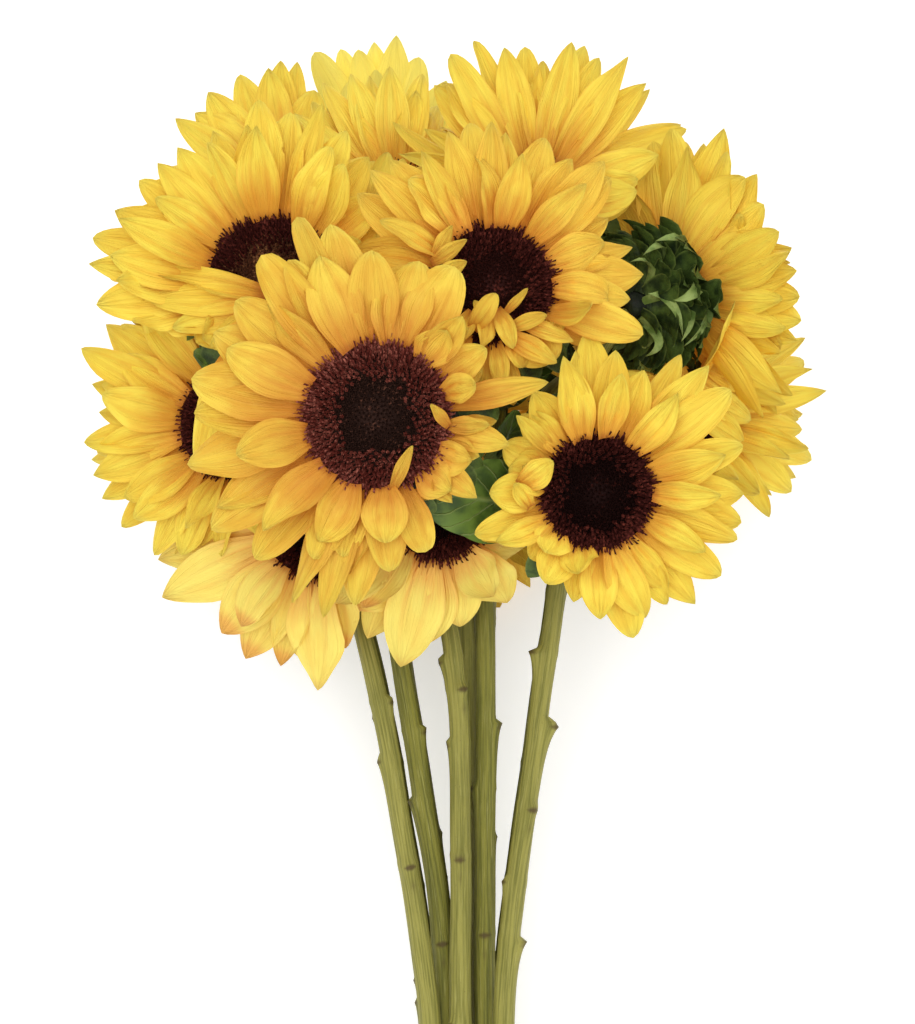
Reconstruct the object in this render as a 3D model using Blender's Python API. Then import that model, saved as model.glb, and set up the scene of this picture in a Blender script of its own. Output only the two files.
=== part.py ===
"""A bunch of sixteen cut sunflowers, lying on its back: stems, blooms and leaves as plain closed solids.

Everything is laid out in the bunch's own frame, in millimetres: u runs to the right, v along the
stems towards the blooms, w up, out of the side that shows. v = 0 is 75 mm above the cut ends. The
last step tips that frame back until the cut ends and the rear blooms rest on the ground.
"""

import math

import bmesh
import bpy
import numpy as np

MM = 0.001

# ---------------------------------------------------------------- driving dimensions
CUT_V = -75.0  # where the stems are cut off, along the bunch
COLLAR_V = 160.0  # where the stems run in under the blooms
LIE_TILT = math.radians(9.5)  # the bunch's axis against the ground
GROUND_DROP = 48.7  # height of the bunch's axis over the ground at v = 0
ORIGIN_U = -1.0  # the middle of the bunch across, and below it along, is the origin
ORIGIN_Y = 172.7

STEM_RADIUS_CUT = 4.85
STEM_RADIUS_NECK = 3.7
STEM_GAP = 0.5  # least clear distance between two stems
STEM_SIDES = 6
STEM_RINGS = 13
STEM_SAMPLES = 40

CALYX_DEPTH = 27.0  # from the bloom's centre back to its neck
NECK_RADIUS = 5.2
NECK_BEND = 40.0  # length over which a stem bends into its bloom
PETALS_IN_RIM = 11  # lobes in a bloom's rim
PETAL_SOLID_HALF = 2.6  # half thickness of the ring of petals
CUT_CLEARANCE = 0.5

LEAF_THICKNESS = 1.8
LEAF_RINGS = 6

# ---------------------------------------------------------------- the blooms
# name: centre (u, v, w), facing (u, v, w), disc radius, reach to the petal tips, stem lane
BLOOMS = {
    "bloom_01": ((-35, 254, 84), (-0.10, 0.04, 1.0), 31, 78, "C1"),
    "bloom_02": ((-78, 313, 50), (-0.18, 0.20, 0.96), 28, 82, "B1"),
    "bloom_03": ((12, 310, 62), (0.20, 0.18, 1.0), 26, 68, "D1"),
    "bloom_04": ((54, 224, 66), (0.15, -0.08, 1.0), 24, 64, "E1"),
    "bloom_05": ((-97, 250, 28), (-0.40, -0.05, 0.9), 24, 72, "A2"),
    "bloom_06": ((-60, 208, 40), (-0.35, -0.15, 0.92), 24, 70, "A1"),
    "bloom_07": ((-9, 216, 48), (0.05, -0.25, 0.95), 24, 62, "C2"),
    "bloom_08": ((-77, 350, -2), (-0.32, 0.48, 0.82), 24, 68, "B2"),
    "bloom_09": ((-27, 346, 14), (0.05, 0.48, 0.87), 23, 64, "C3"),
    "bloom_10": ((32, 346, 16), (0.15, 0.38, 0.90), 26, 80, "D2"),
    "bloom_11": ((92, 306, 4), (0.66, 0.18, -0.72), 27, 70, "E2"),
    "bloom_12": ((102, 256, 2), (0.58, 0.10, 0.80), 24, 68, "E3"),
    "bloom_13": ((-84, 286, -50), (-0.62, 0.10, -0.78), 26, 68, "A3"),
    "bloom_14": ((74, 278, -50), (0.62, -0.02, -0.78), 26, 68, "D3"),
    "bloom_15": ((-32, 356, -73), (-0.05, 0.35, -0.93), 26, 66, "B3"),
    "bloom_16": ((-6, 232, -75), (0.05, -0.12, -0.98), 25, 66, "C4"),
}

# ---------------------------------------------------------------- the stems below the blooms
# lane: its (v, u) stations from the waist to the collar, and its w at the cut, waist and collar
FRONT_A = ((0, -12.4), (42, -18.5), (90, -26.5), (134, -34.0), (160, -41.0))
FRONT_B = ((0, -5.9), (42, -8.0), (90, -15.6), (134, -22.7), (160, -27.0))
FRONT_C = ((0, 0.0), (42, 0.4), (90, 0.3), (134, -0.4), (160, -2.8))
REAR_C = ((0, 1.6), (42, 1.9), (90, 2.4), (134, 2.8), (160, 3.2))
FRONT_D = ((0, 10.8), (42, 10.5), (90, 11.0), (134, 11.2), (160, 11.0))
FRONT_E = ((0, 18.2), (42, 22.0), (90, 28.8), (134, 34.6), (160, 38.6))
LANES = {
    "A1": (FRONT_A, (17, 16, 16)),
    "A2": (FRONT_A, (0, -1, -1)),
    "A3": (FRONT_A, (-17, -18, -24)),
    "B1": (FRONT_B, (8.5, 7.5, 8)),
    "B2": (FRONT_B, (-8.5, -9.5, -12)),
    "B3": (FRONT_B, (-25.5, -27, -34)),
    "C1": (FRONT_C, (17, 16, 16)),
    "C2": (REAR_C, (0, -1, 2)),
    "C3": (REAR_C, (-17, -18, -16)),
    "C4": (REAR_C, (-33.5, -34.5, -37)),
    "D1": (FRONT_D, (8.5, 7.5, 8)),
    "D2": (FRONT_D, (-8.5, -9.5, -10)),
    "D3": (FRONT_D, (-25.5, -27, -34)),
    "E1": (FRONT_E, (17, 16, 18)),
    "E2": (FRONT_E, (0, -1, -4)),
    "E3": (FRONT_E, (-17, -18, -20)),
}

# ---------------------------------------------------------------- the leaves left on the stems
# name: the bloom whose stem bears it, height v on that stem, tip (u, v, w), half width, upper side
LEAVES = {
    "leaf_01": ("bloom_04", 196, (-6, 230, 66), 16, (0.2, -0.4, 0.9)),
    "leaf_02": ("bloom_03", 262, (44, 282, 52), 13, (-0.5, 0.0, 0.9)),
    "leaf_03": ("bloom_03", 222, (22, 250, 60), 11, (0.3, -0.9, 0.3)),
    "leaf_04": ("bloom_02", 255, (-110, 284, 36), 13, (0.3, -0.2, 0.9)),
    "leaf_05": ("bloom_01", 238, (-78, 208, 66), 11, (-0.2, 0.3, 0.9)),
    "leaf_06": ("bloom_16", 176, (-52, 236, -62), 15, (-0.2, -0.5, -0.8)),
    "leaf_07": ("bloom_14", 206, (48, 214, -70), 15, (0.4, -0.8, -0.4)),
    "leaf_08": ("bloom_13", 250, (-20, 288, -78), 15, (0.2, 0.0, -0.9)),
}


def unit(vector):
    vector = np.array(vector, float)
    return vector / np.linalg.norm(vector)


def neck_of(bloom):
    """Where a bloom's stem ends, and the way it points there."""
    centre, facing, *_ = bloom
    facing = unit(facing)
    return np.array(centre, float) - CALYX_DEPTH * facing, facing


def lane_point(lane, v):
    """The middle of a stem at a height v between the cut and the collar."""
    stations, (w_cut, w_waist, w_collar) = LANES[lane]
    heights = [s[0] for s in stations]
    sides = [s[1] for s in stations]
    u = np.interp(v, heights, sides)
    w = np.interp(v, (CUT_V, 0.0, COLLAR_V), (w_cut, w_waist, w_collar))
    return np.array([u, v, w])


def smooth(points, passes=2):
    """Evens out a polyline, its two ends kept."""
    for _ in range(passes):
        points[1:-1] = (points[:-2] + 2 * points[1:-1] + points[2:]) / 4
    return points


def first_route(lane, bloom):
    """A stem's route before its neighbours push it: the lane, then one free curve to the neck."""
    low = np.array([lane_point(lane, v) for v in np.linspace(CUT_V, COLLAR_V, 25)])
    neck, facing = neck_of(bloom)
    away = unit(low[-1] - low[-3])
    start = low[-1]
    span = np.linalg.norm(neck - start)
    bend = min(NECK_BEND, 0.34 * span)
    bends = (start, start + away * span * 0.36, neck - facing * bend, neck)
    t = np.linspace(0, 1, 19)[1:, None]
    powers = ((1 - t) ** 3, 3 * t * (1 - t) ** 2, 3 * t * t * (1 - t), t**3)
    high = sum(p * b for p, b in zip(powers, bends))
    return np.vstack([low, high])


def resampled(points, count):
    """The same polyline with its points evenly spaced."""
    steps = np.linalg.norm(np.diff(points, axis=0), axis=1)
    along = np.concatenate([[0], np.cumsum(steps)])
    wanted = np.linspace(0, along[-1], count)
    return np.column_stack([np.interp(wanted, along, points[:, k]) for k in range(3)])


def stem_radii(count):
    return np.linspace(STEM_RADIUS_CUT, STEM_RADIUS_NECK, count)


def calyx_balls():
    """Balls that fill the back of each bloom, which other blooms' stems keep clear of."""
    middles, radii, owners = [], [], []
    for number, (centre, facing, disc, _reach, _lane) in enumerate(BLOOMS.values()):
        facing = unit(facing)
        for back, radius in ((4, disc), (13, 0.75 * disc), (23, 9.0)):
            middles.append(np.array(centre, float) - back * facing)
            radii.append(radius)
            owners.append(number)
    return np.array(middles), np.array(radii), np.array(owners)


def pushed_off(points, radii, owners, others, other_radii, other_owners, clear):
    """How far each point is pushed by the balls of other owners that it is too close to."""
    gap = points[:, None] - others[None]
    far = np.linalg.norm(gap, axis=2)
    deep = radii[:, None] + other_radii[None] + clear - far
    deep[(owners[:, None] == other_owners[None]) | (deep < 0)] = 0
    return (gap / np.maximum(far, 1e-3)[..., None] * deep[..., None]).sum(1)


def settle(routes, rounds=500):
    """Pushes the stems off each other and off the blooms' backs above the collar."""
    count = len(routes[0])
    points = np.vstack(routes)
    radii = np.tile(stem_radii(count), len(routes))
    owners = np.repeat(np.arange(len(routes)), count)
    balls, ball_radii, ball_owners = calyx_balls()
    upper = points[:, 1] > COLLAR_V - 25
    free = points[:, 1] > COLLAR_V - 12
    free &= np.tile(np.arange(count) < count - 2, len(routes))
    shift = np.zeros_like(points)
    for _ in range(rounds):
        points = np.vstack(routes) + shift
        mine = (points[free], radii[free], owners[free])
        push = 0.25 * pushed_off(*mine, points[upper], radii[upper], owners[upper], STEM_GAP + 0.5)
        push += 0.35 * pushed_off(*mine, balls, ball_radii, ball_owners, 1.0)
        shift[free] += push
        each = shift.reshape(len(routes), count, 3).copy()
        each[:, 1:-1] += 0.25 * (each[:, :-2] - 2 * each[:, 1:-1] + each[:, 2:])
        shift[free] = each.reshape(-1, 3)[free]
    return list((np.vstack(routes) + shift).reshape(len(routes), count, 3))


def stem_routes():
    """Every stem's centreline from its cut end to its bloom's neck."""
    routes = [first_route(bloom[4], bloom) for bloom in BLOOMS.values()]
    routes = [resampled(smooth(route), STEM_SAMPLES) for route in routes]
    return dict(zip(BLOOMS, settle(routes)))


# ---------------------------------------------------------------- shapes
def laid_down(points):
    """From the bunch's frame in millimetres to the world, in metres, on the ground."""
    points = np.asarray(points, float)
    u, v, w = points[..., 0], points[..., 1], points[..., 2]
    x = u - ORIGIN_U
    y = v * math.cos(LIE_TILT) - w * math.sin(LIE_TILT) - ORIGIN_Y
    z = v * math.sin(LIE_TILT) + w * math.cos(LIE_TILT) + GROUND_DROP
    return np.stack([x, y, z], axis=-1) * MM


def closed_mesh(name, rings, first_tip=None, last_tip=None):
    """A mesh through rings of equal count, each end closed by a tip or by a flat face."""
    count = len(rings[0])
    points = [p for ring in rings for p in ring]
    faces = []
    for low in range(0, (len(rings) - 1) * count, count):
        for i in range(count):
            j = (i + 1) % count
            faces.append((low + i, low + j, low + count + j, low + count + i))
    top = (len(rings) - 1) * count
    if first_tip is None:
        faces.append(tuple(reversed(range(count))))
    else:
        points.append(first_tip)
        tip = len(points) - 1
        faces += [((i + 1) % count, i, tip) for i in range(count)]
    if last_tip is None:
        faces.append(tuple(range(top, top + count)))
    else:
        points.append(last_tip)
        tip = len(points) - 1
        faces += [(top + i, top + (i + 1) % count, tip) for i in range(count)]
    mesh = bpy.data.meshes.new(name)
    mesh.from_pydata([tuple(p) for p in laid_down(points)], [], faces)
    made = bmesh.new()
    made.from_mesh(mesh)
    bmesh.ops.recalc_face_normals(made, faces=made.faces)
    made.to_mesh(mesh)
    made.free()
    return mesh


def frames_along(points):
    """A direction and two cross axes at each point, turned as little as possible."""
    ways = np.gradient(points, axis=0)
    ways /= np.linalg.norm(ways, axis=1)[:, None]
    side = unit(np.cross(ways[0], (0.0, 0.0, 1.0)))
    frames = []
    for way in ways:
        side = unit(side - way * (side @ way))
        frames.append((way, side, np.cross(way, side)))
    return frames


def stem_mesh(name, route, facing, extra=0.0):
    route = resampled(route, STEM_RINGS)
    frames = frames_along(route)
    turn = np.linspace(0, 2 * math.pi, STEM_SIDES, endpoint=False)
    rings = []
    for middle, radius, (_way, side, up) in zip(route, stem_radii(STEM_RINGS), frames):
        circle = np.cos(turn)[:, None] * side + np.sin(turn)[:, None] * up
        rings.append(middle + (radius + extra) * circle)
    flat = rings[0]
    rings[0] = np.column_stack([flat[:, 0], np.full(STEM_SIDES, CUT_V - extra), flat[:, 2]])
    facing = unit(facing)
    rings[-1] = rings[-1] - ((rings[-1] - route[-1]) @ facing)[:, None] * facing
    return closed_mesh(name, rings)


def bloom_axes(facing):
    """The bloom's facing and two axes in its plane, the first of them level."""
    facing = unit(facing)
    level = np.cross((0.0, 1.0, 0.0), facing)
    if np.linalg.norm(level) < 0.2:
        level = np.cross((0.0, 0.0, 1.0), facing)
    level = unit(level)
    return level, np.cross(facing, level), facing


def bloom_mesh(name, bloom, extra=0.0):
    """Disc, ring of petals with a lobed rim, and the calyx behind, as one closed shape.

    The rim is a sharp edge, so it takes five times the extra to stand as clear as the rest.
    """
    centre, facing, disc, reach, _lane = bloom
    level, rise, facing = bloom_axes(facing)
    centre = np.array(centre, float)
    count = 2 * PETALS_IN_RIM
    turn = np.linspace(0, 2 * math.pi, count, endpoint=False)
    lobe = np.where(np.arange(count) % 2 == 0, 1.0, 0.84)
    half = PETAL_SOLID_HALF
    middle = disc + 0.52 * (reach - disc)
    profile = (
        (disc * 0.98 + extra, 4.0 + extra, False),
        (middle, 5.0 + half + extra, False),
        (reach + 5 * extra, 6.0, True),
        (middle, 5.0 - half - extra, False),
        (disc * 1.08 + extra, -4.0 - extra, False),
        (disc * 0.66 + extra, -17.0 - extra, False),
        (NECK_RADIUS + extra, -CALYX_DEPTH + 0.4 - extra, False),
    )
    rings = []
    for radius, height, lobed in profile:
        spread = radius * (lobe if lobed else 1.0) * np.ones(count)
        ring = centre + height * facing
        ring = ring + (np.cos(turn) * spread)[:, None] * level
        ring = ring + (np.sin(turn) * spread)[:, None] * rise
        rings.append(ring)
    return closed_mesh(name, rings, first_tip=centre + (5.5 + extra) * facing)


def largest_part(mesh):
    """Drops every island but the biggest, which a cut may leave."""
    made = bmesh.new()
    made.from_mesh(mesh)
    bmesh.ops.remove_doubles(made, verts=made.verts, dist=2e-6)
    left = set(made.verts)
    islands = []
    while left:
        island, edge = set(), [left.pop()]
        while edge:
            vert = edge.pop()
            island.add(vert)
            for link in vert.link_edges:
                other = link.other_vert(vert)
                if other in left:
                    left.discard(other)
                    edge.append(other)
        islands.append(island)
    islands.sort(key=len)
    for island in islands[:-1]:
        bmesh.ops.delete(made, geom=list(island), context="VERTS")
    bmesh.ops.dissolve_limit(
        made, angle_limit=math.radians(1.0), verts=made.verts, edges=made.edges
    )
    bmesh.ops.triangulate(made, faces=made.faces)
    made.to_mesh(mesh)
    made.free()


def cut_by(target, cutters):
    """Takes the cutters out of the target mesh object, for good."""
    for cutter in cutters:
        modifier = target.modifiers.new("make_room", "BOOLEAN")
        modifier.operation = "DIFFERENCE"
        modifier.solver = "EXACT"
        modifier.object = cutter
    graph = bpy.context.evaluated_depsgraph_get()
    made = bpy.data.meshes.new_from_object(target.evaluated_get(graph))
    target.modifiers.clear()
    old = target.data
    made.materials.clear()
    for material in old.materials:
        made.materials.append(material)
    target.data = made
    bpy.data.meshes.remove(old)
    largest_part(target.data)


def leaf_mesh(name, leaf, routes, extra=0.0):
    """A leaf's blade as a thin folded lens, bowed between its stem and its tip."""
    bearer, height, tip, half_width, upper = leaf
    route = routes[bearer]
    stalk = np.array([np.interp(height, route[:, 1], route[:, k]) for k in range(3)])
    tip = np.array(tip, float)
    start = stalk + unit(tip - stalk) * (STEM_RADIUS_CUT + 1.0)
    upper = unit(upper)
    bow = (start + tip) / 2 + 0.14 * np.linalg.norm(tip - start) * upper
    rings = []
    for t in np.linspace(0, 1, LEAF_RINGS + 1)[:-1]:
        middle = (1 - t) ** 2 * start + 2 * t * (1 - t) * bow + t * t * tip
        way = unit(2 * (1 - t) * (bow - start) + 2 * t * (tip - bow))
        side = unit(np.cross(way, upper))
        over = np.cross(side, way)
        spread = 1.5 + half_width * math.sin(math.pi * t**0.75) ** 0.8 + extra
        thick = LEAF_THICKNESS / 2 + extra
        fold = 0.18 * spread * over
        rings.append(
            (
                middle + side * spread + fold,
                middle + thick * over,
                middle - side * spread + fold,
                middle - thick * over,
            )
        )
    return closed_mesh(name, rings, last_tip=tip)


def level_with_ground(obj):
    """Cuts off flat whatever of the object is under the ground."""
    made = bmesh.new()
    made.from_mesh(obj.data)
    geom = made.verts[:] + made.edges[:] + made.faces[:]
    cut = bmesh.ops.bisect_plane(
        made, geom=geom, plane_co=(0, 0, 0), plane_no=(0, 0, -1), clear_outer=True
    )
    edges = [e for e in cut["geom_cut"] if isinstance(e, bmesh.types.BMEdge)]
    if edges:
        bmesh.ops.contextual_create(made, geom=edges)
        bmesh.ops.triangulate(made, faces=made.faces)
    made.to_mesh(obj.data)
    made.free()


def near(first, second):
    """Whether the boxes of two objects overlap."""
    spans = []
    for obj in (first, second):
        points = np.array([v.co for v in obj.data.vertices])
        spans.append((points.min(0), points.max(0)))
    (low_a, high_a), (low_b, high_b) = spans
    return bool((low_a < high_b).all() and (low_b < high_a).all())


# ---------------------------------------------------------------- finishes
def finish(name, colour, roughness):
    material = bpy.data.materials.new(name)
    material.use_nodes = True
    shader = material.node_tree.nodes["Principled BSDF"]
    shader.inputs["Base Color"].default_value = (*colour, 1.0)
    shader.inputs["Roughness"].default_value = roughness
    shader.inputs["Metallic"].default_value = 0.0
    return material


def add_object(name, mesh, material=None):
    obj = bpy.data.objects.new(name, mesh)
    bpy.context.scene.collection.objects.link(obj)
    if material:
        mesh.materials.append(material)
    return obj


def clear_scene():
    for obj in list(bpy.data.objects):
        bpy.data.objects.remove(obj, do_unlink=True)


def add_cutter(name, mesh):
    cutter = add_object(name, mesh)
    cutter.hide_render = True
    cutter.display_type = "WIRE"
    return cutter


def main():
    clear_scene()
    petal = finish("petal yellow", (0.85, 0.55, 0.03), 0.6)
    stalk = finish("stem green", (0.28, 0.27, 0.07), 0.6)
    foliage = finish("leaf green", (0.06, 0.12, 0.03), 0.6)
    routes = stem_routes()
    stem_cutters, placed = {}, []
    for name, route in routes.items():
        stem, facing = name.replace("bloom", "stem"), BLOOMS[name][1]
        obj = add_object(stem, stem_mesh(stem, route, facing), stalk)
        level_with_ground(obj)
        cutter = stem + "_room"
        stem_cutters[name] = add_cutter(cutter, stem_mesh(cutter, route, facing, CUT_CLEARANCE))
    for name, bloom in sorted(BLOOMS.items(), key=lambda item: -item[1][0][2]):
        obj = add_object(name, bloom_mesh(name, bloom), petal)
        others = [stem_cutters[n] for n in stem_cutters if n != name]
        cut_by(obj, [c for c in others + placed if near(obj, c)])
        level_with_ground(obj)
        cutter = name + "_room"
        placed.append(add_cutter(cutter, bloom_mesh(cutter, bloom, CUT_CLEARANCE)))
    placed += stem_cutters.values()
    for name, leaf in LEAVES.items():
        obj = add_object(name, leaf_mesh(name, leaf, routes), foliage)
        cut_by(obj, [c for c in placed if near(obj, c)])
        level_with_ground(obj)
        cutter = name + "_room"
        placed.append(add_cutter(cutter, leaf_mesh(cutter, leaf, routes, CUT_CLEARANCE)))


main()
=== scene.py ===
# %% [markdown]
# # A bunch of cut sunflowers
# This lesson dresses a imported model of sixteen cut sunflowers, laid on their backs on a table,
# with petals, florets, bracts, leaves and stalks. The first cell loads the imported model: its
# nodes are the plain solids that physics works with, and every piece made below takes the place
# of one of them. The box of the whole model is kept, to set beside the dressed bunch's at the end.

import math

import bpy
import numpy as np
from mathutils import Matrix, Vector


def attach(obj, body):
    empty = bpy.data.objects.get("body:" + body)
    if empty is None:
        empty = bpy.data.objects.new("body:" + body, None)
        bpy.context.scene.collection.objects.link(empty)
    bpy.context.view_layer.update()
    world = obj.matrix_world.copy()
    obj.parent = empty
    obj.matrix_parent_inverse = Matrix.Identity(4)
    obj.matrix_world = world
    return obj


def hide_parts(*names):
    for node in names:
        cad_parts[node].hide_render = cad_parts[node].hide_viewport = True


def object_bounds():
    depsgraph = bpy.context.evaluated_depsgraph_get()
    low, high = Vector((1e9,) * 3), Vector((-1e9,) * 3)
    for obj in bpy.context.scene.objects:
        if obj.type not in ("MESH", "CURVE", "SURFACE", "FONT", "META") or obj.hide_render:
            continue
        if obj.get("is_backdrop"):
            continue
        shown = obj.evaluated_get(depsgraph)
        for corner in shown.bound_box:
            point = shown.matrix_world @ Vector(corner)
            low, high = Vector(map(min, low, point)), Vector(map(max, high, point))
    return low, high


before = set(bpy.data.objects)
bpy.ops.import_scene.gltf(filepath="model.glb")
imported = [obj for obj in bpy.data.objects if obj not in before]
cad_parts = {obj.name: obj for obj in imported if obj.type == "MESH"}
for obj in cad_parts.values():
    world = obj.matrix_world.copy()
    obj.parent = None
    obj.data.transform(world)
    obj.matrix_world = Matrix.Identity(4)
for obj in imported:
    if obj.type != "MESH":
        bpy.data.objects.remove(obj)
cad_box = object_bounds()
print(len(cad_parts), "nodes in the packed model")

# %% [markdown]
# ## How the bunch lies
# A florist measures a bunch along its stems, not along the table. So every size here is in
# millimetres of the bunch itself: u runs across it, v along the stems towards the blooms, and w
# up and away from the table. The bunch lies tilted, because its heads are thicker than its
# stems, so one turn about the u axis and one shift carry those millimetres into the model.

# %% The lie of the bunch
MM = 0.001
LIE_TILT = math.radians(9.5)
ORIGIN = (-1.0, 172.7, 48.7)
COS, SIN = math.cos(LIE_TILT), math.sin(LIE_TILT)


def laid_down(points):
    """Bunch millimetres (u, v, w) as metres in the model's frame."""
    u, v, w = np.asarray(points, float).T
    x, y, z = u - ORIGIN[0], v * COS - w * SIN - ORIGIN[1], v * SIN + w * COS + ORIGIN[2]
    return MM * np.stack([x, y, z], -1)


def lifted_up(points):
    """Metres in the model's frame as bunch millimetres: laid_down the other way."""
    x, y, z = np.asarray(points, float).T / MM
    y, z = y + ORIGIN[1], z - ORIGIN[2]
    return np.stack([x + ORIGIN[0], y * COS + z * SIN, z * COS - y * SIN], -1)


def ground_at(v):
    """Height w of the table top under the bunch, at v along it."""
    return -(ORIGIN[2] + v * SIN) / COS


print("table under the cut ends at w =", round(ground_at(-75.0), 1), "mm")

# %% [markdown]
# ## Camera, table and light
# The bunch is looked at from straight above its own lie, so the camera sits out along w and its
# picture's upward direction is the way the stems run. A long lens from nearly two metres keeps
# the heads at even scale. The light is a bright even room with three large soft lamps overhead.
# The strongest hangs high on the left, which gives petals a lit and a shaded side.

# %% Camera, table and lamps
CAMERA_AIM = (-1.0, 213.4, 40.0)
CAMERA_REACH = 1800.0
PICTURE_ROWS, MM_PER_ROW = 1024, 0.42


def linked(name, data):
    """A new object of the scene that holds the given camera, light or mesh."""
    thing = bpy.data.objects.new(name, data)
    bpy.context.scene.collection.objects.link(thing)
    return thing


def aimed(name, data, place, aim, up):
    """A new object at a bunch point, looking at another, with its own top towards up."""
    thing = linked(name, data)
    place, aim, tip = (Vector(laid_down([p])[0]) for p in (place, aim, np.add(aim, up)))
    back = (place - aim).normalized()
    right = (tip - aim).cross(back).normalized()
    turn = Matrix((right, back.cross(right), back)).transposed()
    thing.matrix_world = Matrix.Translation(place) @ turn.to_4x4()
    return thing


lens = bpy.data.cameras.new("camera")
lens.sensor_width = 36.0  # spans the picture's longer side, its height
lens.lens = lens.sensor_width * CAMERA_REACH / (PICTURE_ROWS * MM_PER_ROW)
lens.clip_end = 30.0
eye = np.add(CAMERA_AIM, (0, 0, CAMERA_REACH))
bpy.context.scene.camera = aimed("camera", lens, eye, CAMERA_AIM, (0, 100, 0))

LAMPS = {  # where it hangs in bunch mm, its size in metres, its power in watts
    "key_lamp": ((-500, 700, 1900), 1.8, 8.0),
    "front_lamp": ((0, 260, 1960), 1.2, 5.6),
    "fill_lamp": ((900, 300, 1900), 1.8, 2.5),
}
for lamp, (place, size, power) in LAMPS.items():
    light = bpy.data.lights.new(lamp, "AREA")
    light.shape, light.size, light.energy = "DISK", size, power
    aimed(lamp, light, place, CAMERA_AIM, (0, 100, 0))

room = bpy.data.worlds.new("room")
room.use_nodes = True
room.node_tree.nodes["Background"].inputs["Color"].default_value = (1, 1, 1, 1)
room.node_tree.nodes["Background"].inputs["Strength"].default_value = 0.99
bpy.context.scene.world = room
bpy.context.scene.view_settings.view_transform = "Standard"
print("lens", round(lens.lens, 1), "mm")

# %% [markdown]
# ## A small kit for node trees
# Patterns in a material are sums: how far along a petal, times a noise, minus a threshold. They
# could be laid out node by node, but a sum is easier to read as a sum. So a Wire is one output
# of a node, and adding or multiplying it lays down the Math nodes.

# %% Wires
class Wire:
    """One output socket of a node; arithmetic on it adds Math nodes to its tree."""

    def __init__(self, tree, socket):
        self.tree, self.socket = tree, socket

    def sister(self, out):
        """Another output of the same node."""
        return Wire(self.tree, self.socket.node.outputs[out])

    def math(self, operation, *values):
        return self.tree.add("ShaderNodeMath", {"operation": operation}, dict(enumerate(values)))

    def __add__(self, other):
        return self.math("ADD", self, other)

    def __radd__(self, other):
        return self.math("ADD", other, self)

    def __sub__(self, other):
        return self.math("SUBTRACT", self, other)

    def __rsub__(self, other):
        return self.math("SUBTRACT", other, self)

    def __mul__(self, other):
        return self.math("MULTIPLY", self, other)

    def __rmul__(self, other):
        return self.math("MULTIPLY", other, self)

    def __truediv__(self, other):
        return self.math("DIVIDE", self, other)

    def __pow__(self, other):
        return self.math("POWER", self, other)

    def between(self, low, high):
        """0 below low, 1 above high, and a smooth step from one to the other."""
        settings = {"interpolation_type": "SMOOTHSTEP", "clamp": True}
        sockets = {0: self, 1: low, 2: high, 3: 0.0, 4: 1.0}
        return self.tree.add("ShaderNodeMapRange", settings, sockets)


# %% [markdown]
# ## Trees and finishes
# One method, add, makes every node that isn't a sum. It takes the node's type, its settings,
# which go in first because they decide its sockets, and the values or wires of its sockets.
# Geometry trees use it as materials do. A Finish is a material of one shader, with plain values
# set on its own sockets and wires only where something changes over the surface.

# %% Trees and finishes
class Tree:
    """Adds nodes to one node tree."""

    def __init__(self, tree):
        self.tree = tree

    def add(self, kind, settings=None, sockets=None, out=0):
        node = self.tree.nodes.new(kind)
        for name, value in (settings or {}).items():
            setattr(node, name, value)
        for name, value in (sockets or {}).items():
            self.join(value, node.inputs[name])
        return Wire(self, node.outputs[out]) if node.outputs else None

    def join(self, value, socket):
        """A wire is linked to the socket, and a plain value is set on it."""
        if isinstance(value, Wire):
            self.tree.links.new(value.socket, socket)
        else:
            socket.default_value = value

    def attribute(self, name, out="Fac"):
        return self.add("ShaderNodeAttribute", {"attribute_name": name}, out=out)

    def parts(self, vector):
        """The x, y and z wires of a vector."""
        x = self.add("ShaderNodeSeparateXYZ", sockets={0: vector})
        return x, x.sister(1), x.sister(2)

    def vector(self, x=0.0, y=0.0, z=0.0):
        return self.add("ShaderNodeCombineXYZ", sockets={0: x, 1: y, 2: z})

    def noise(self, vector, scale, detail=2.0, rough=0.5):
        sockets = {"Vector": vector, "Scale": scale, "Detail": detail, "Roughness": rough}
        return self.add("ShaderNodeTexNoise", sockets=sockets)

    def blend(self, mask, first, second):
        """Colour first where mask is 0, and second where it is 1."""
        settings = {"data_type": "RGBA", "clamp_factor": True}
        return self.add("ShaderNodeMix", settings, {0: mask, 6: first, 7: second}, out=2)


class Finish(Tree):
    """A material with one Principled shader, whose plain values are given by socket name."""

    def __init__(self, name, **plain):
        self.material = bpy.data.materials.new(name)
        self.material.use_nodes = True
        super().__init__(self.material.node_tree)
        self.shader = self.tree.nodes["Principled BSDF"]
        self.wear(**plain)

    def wear(self, **values):
        """Puts values or wires on the shader, by socket name with _ for a space."""
        for name, value in values.items():
            self.join(value, self.shader.inputs[name.replace("_", " ")])

    def relief(self, height, distance):
        """A Bump node on the shader's Normal, with its distance in metres."""
        sockets = {"Height": height, "Distance": distance, "Strength": 1.0}
        self.wear(Normal=self.add("ShaderNodeBump", sockets=sockets))


def colour(red, green, blue):
    """A display colour, 0 to 255, as the linear colour that a shader takes."""
    return tuple((c / 255 / 12.92 if c <= 10 else ((c / 255 + 0.055) / 1.055) ** 2.4)
                 for c in (red, green, blue)) + (1.0,)


print("mid grey, 128 on a display, is", round(colour(128, 128, 128)[0], 3), "to a shader")


# %% [markdown]
# ## The table top
# The bunch rests on a plain pale board. It is a stage, not part of the bunch, so it is marked as
# such. It glows a little, as the board of a light table does, which keeps the shadows pale, and a
# trace of noise in its roughness keeps it from looking like a hole in the picture.

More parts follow.
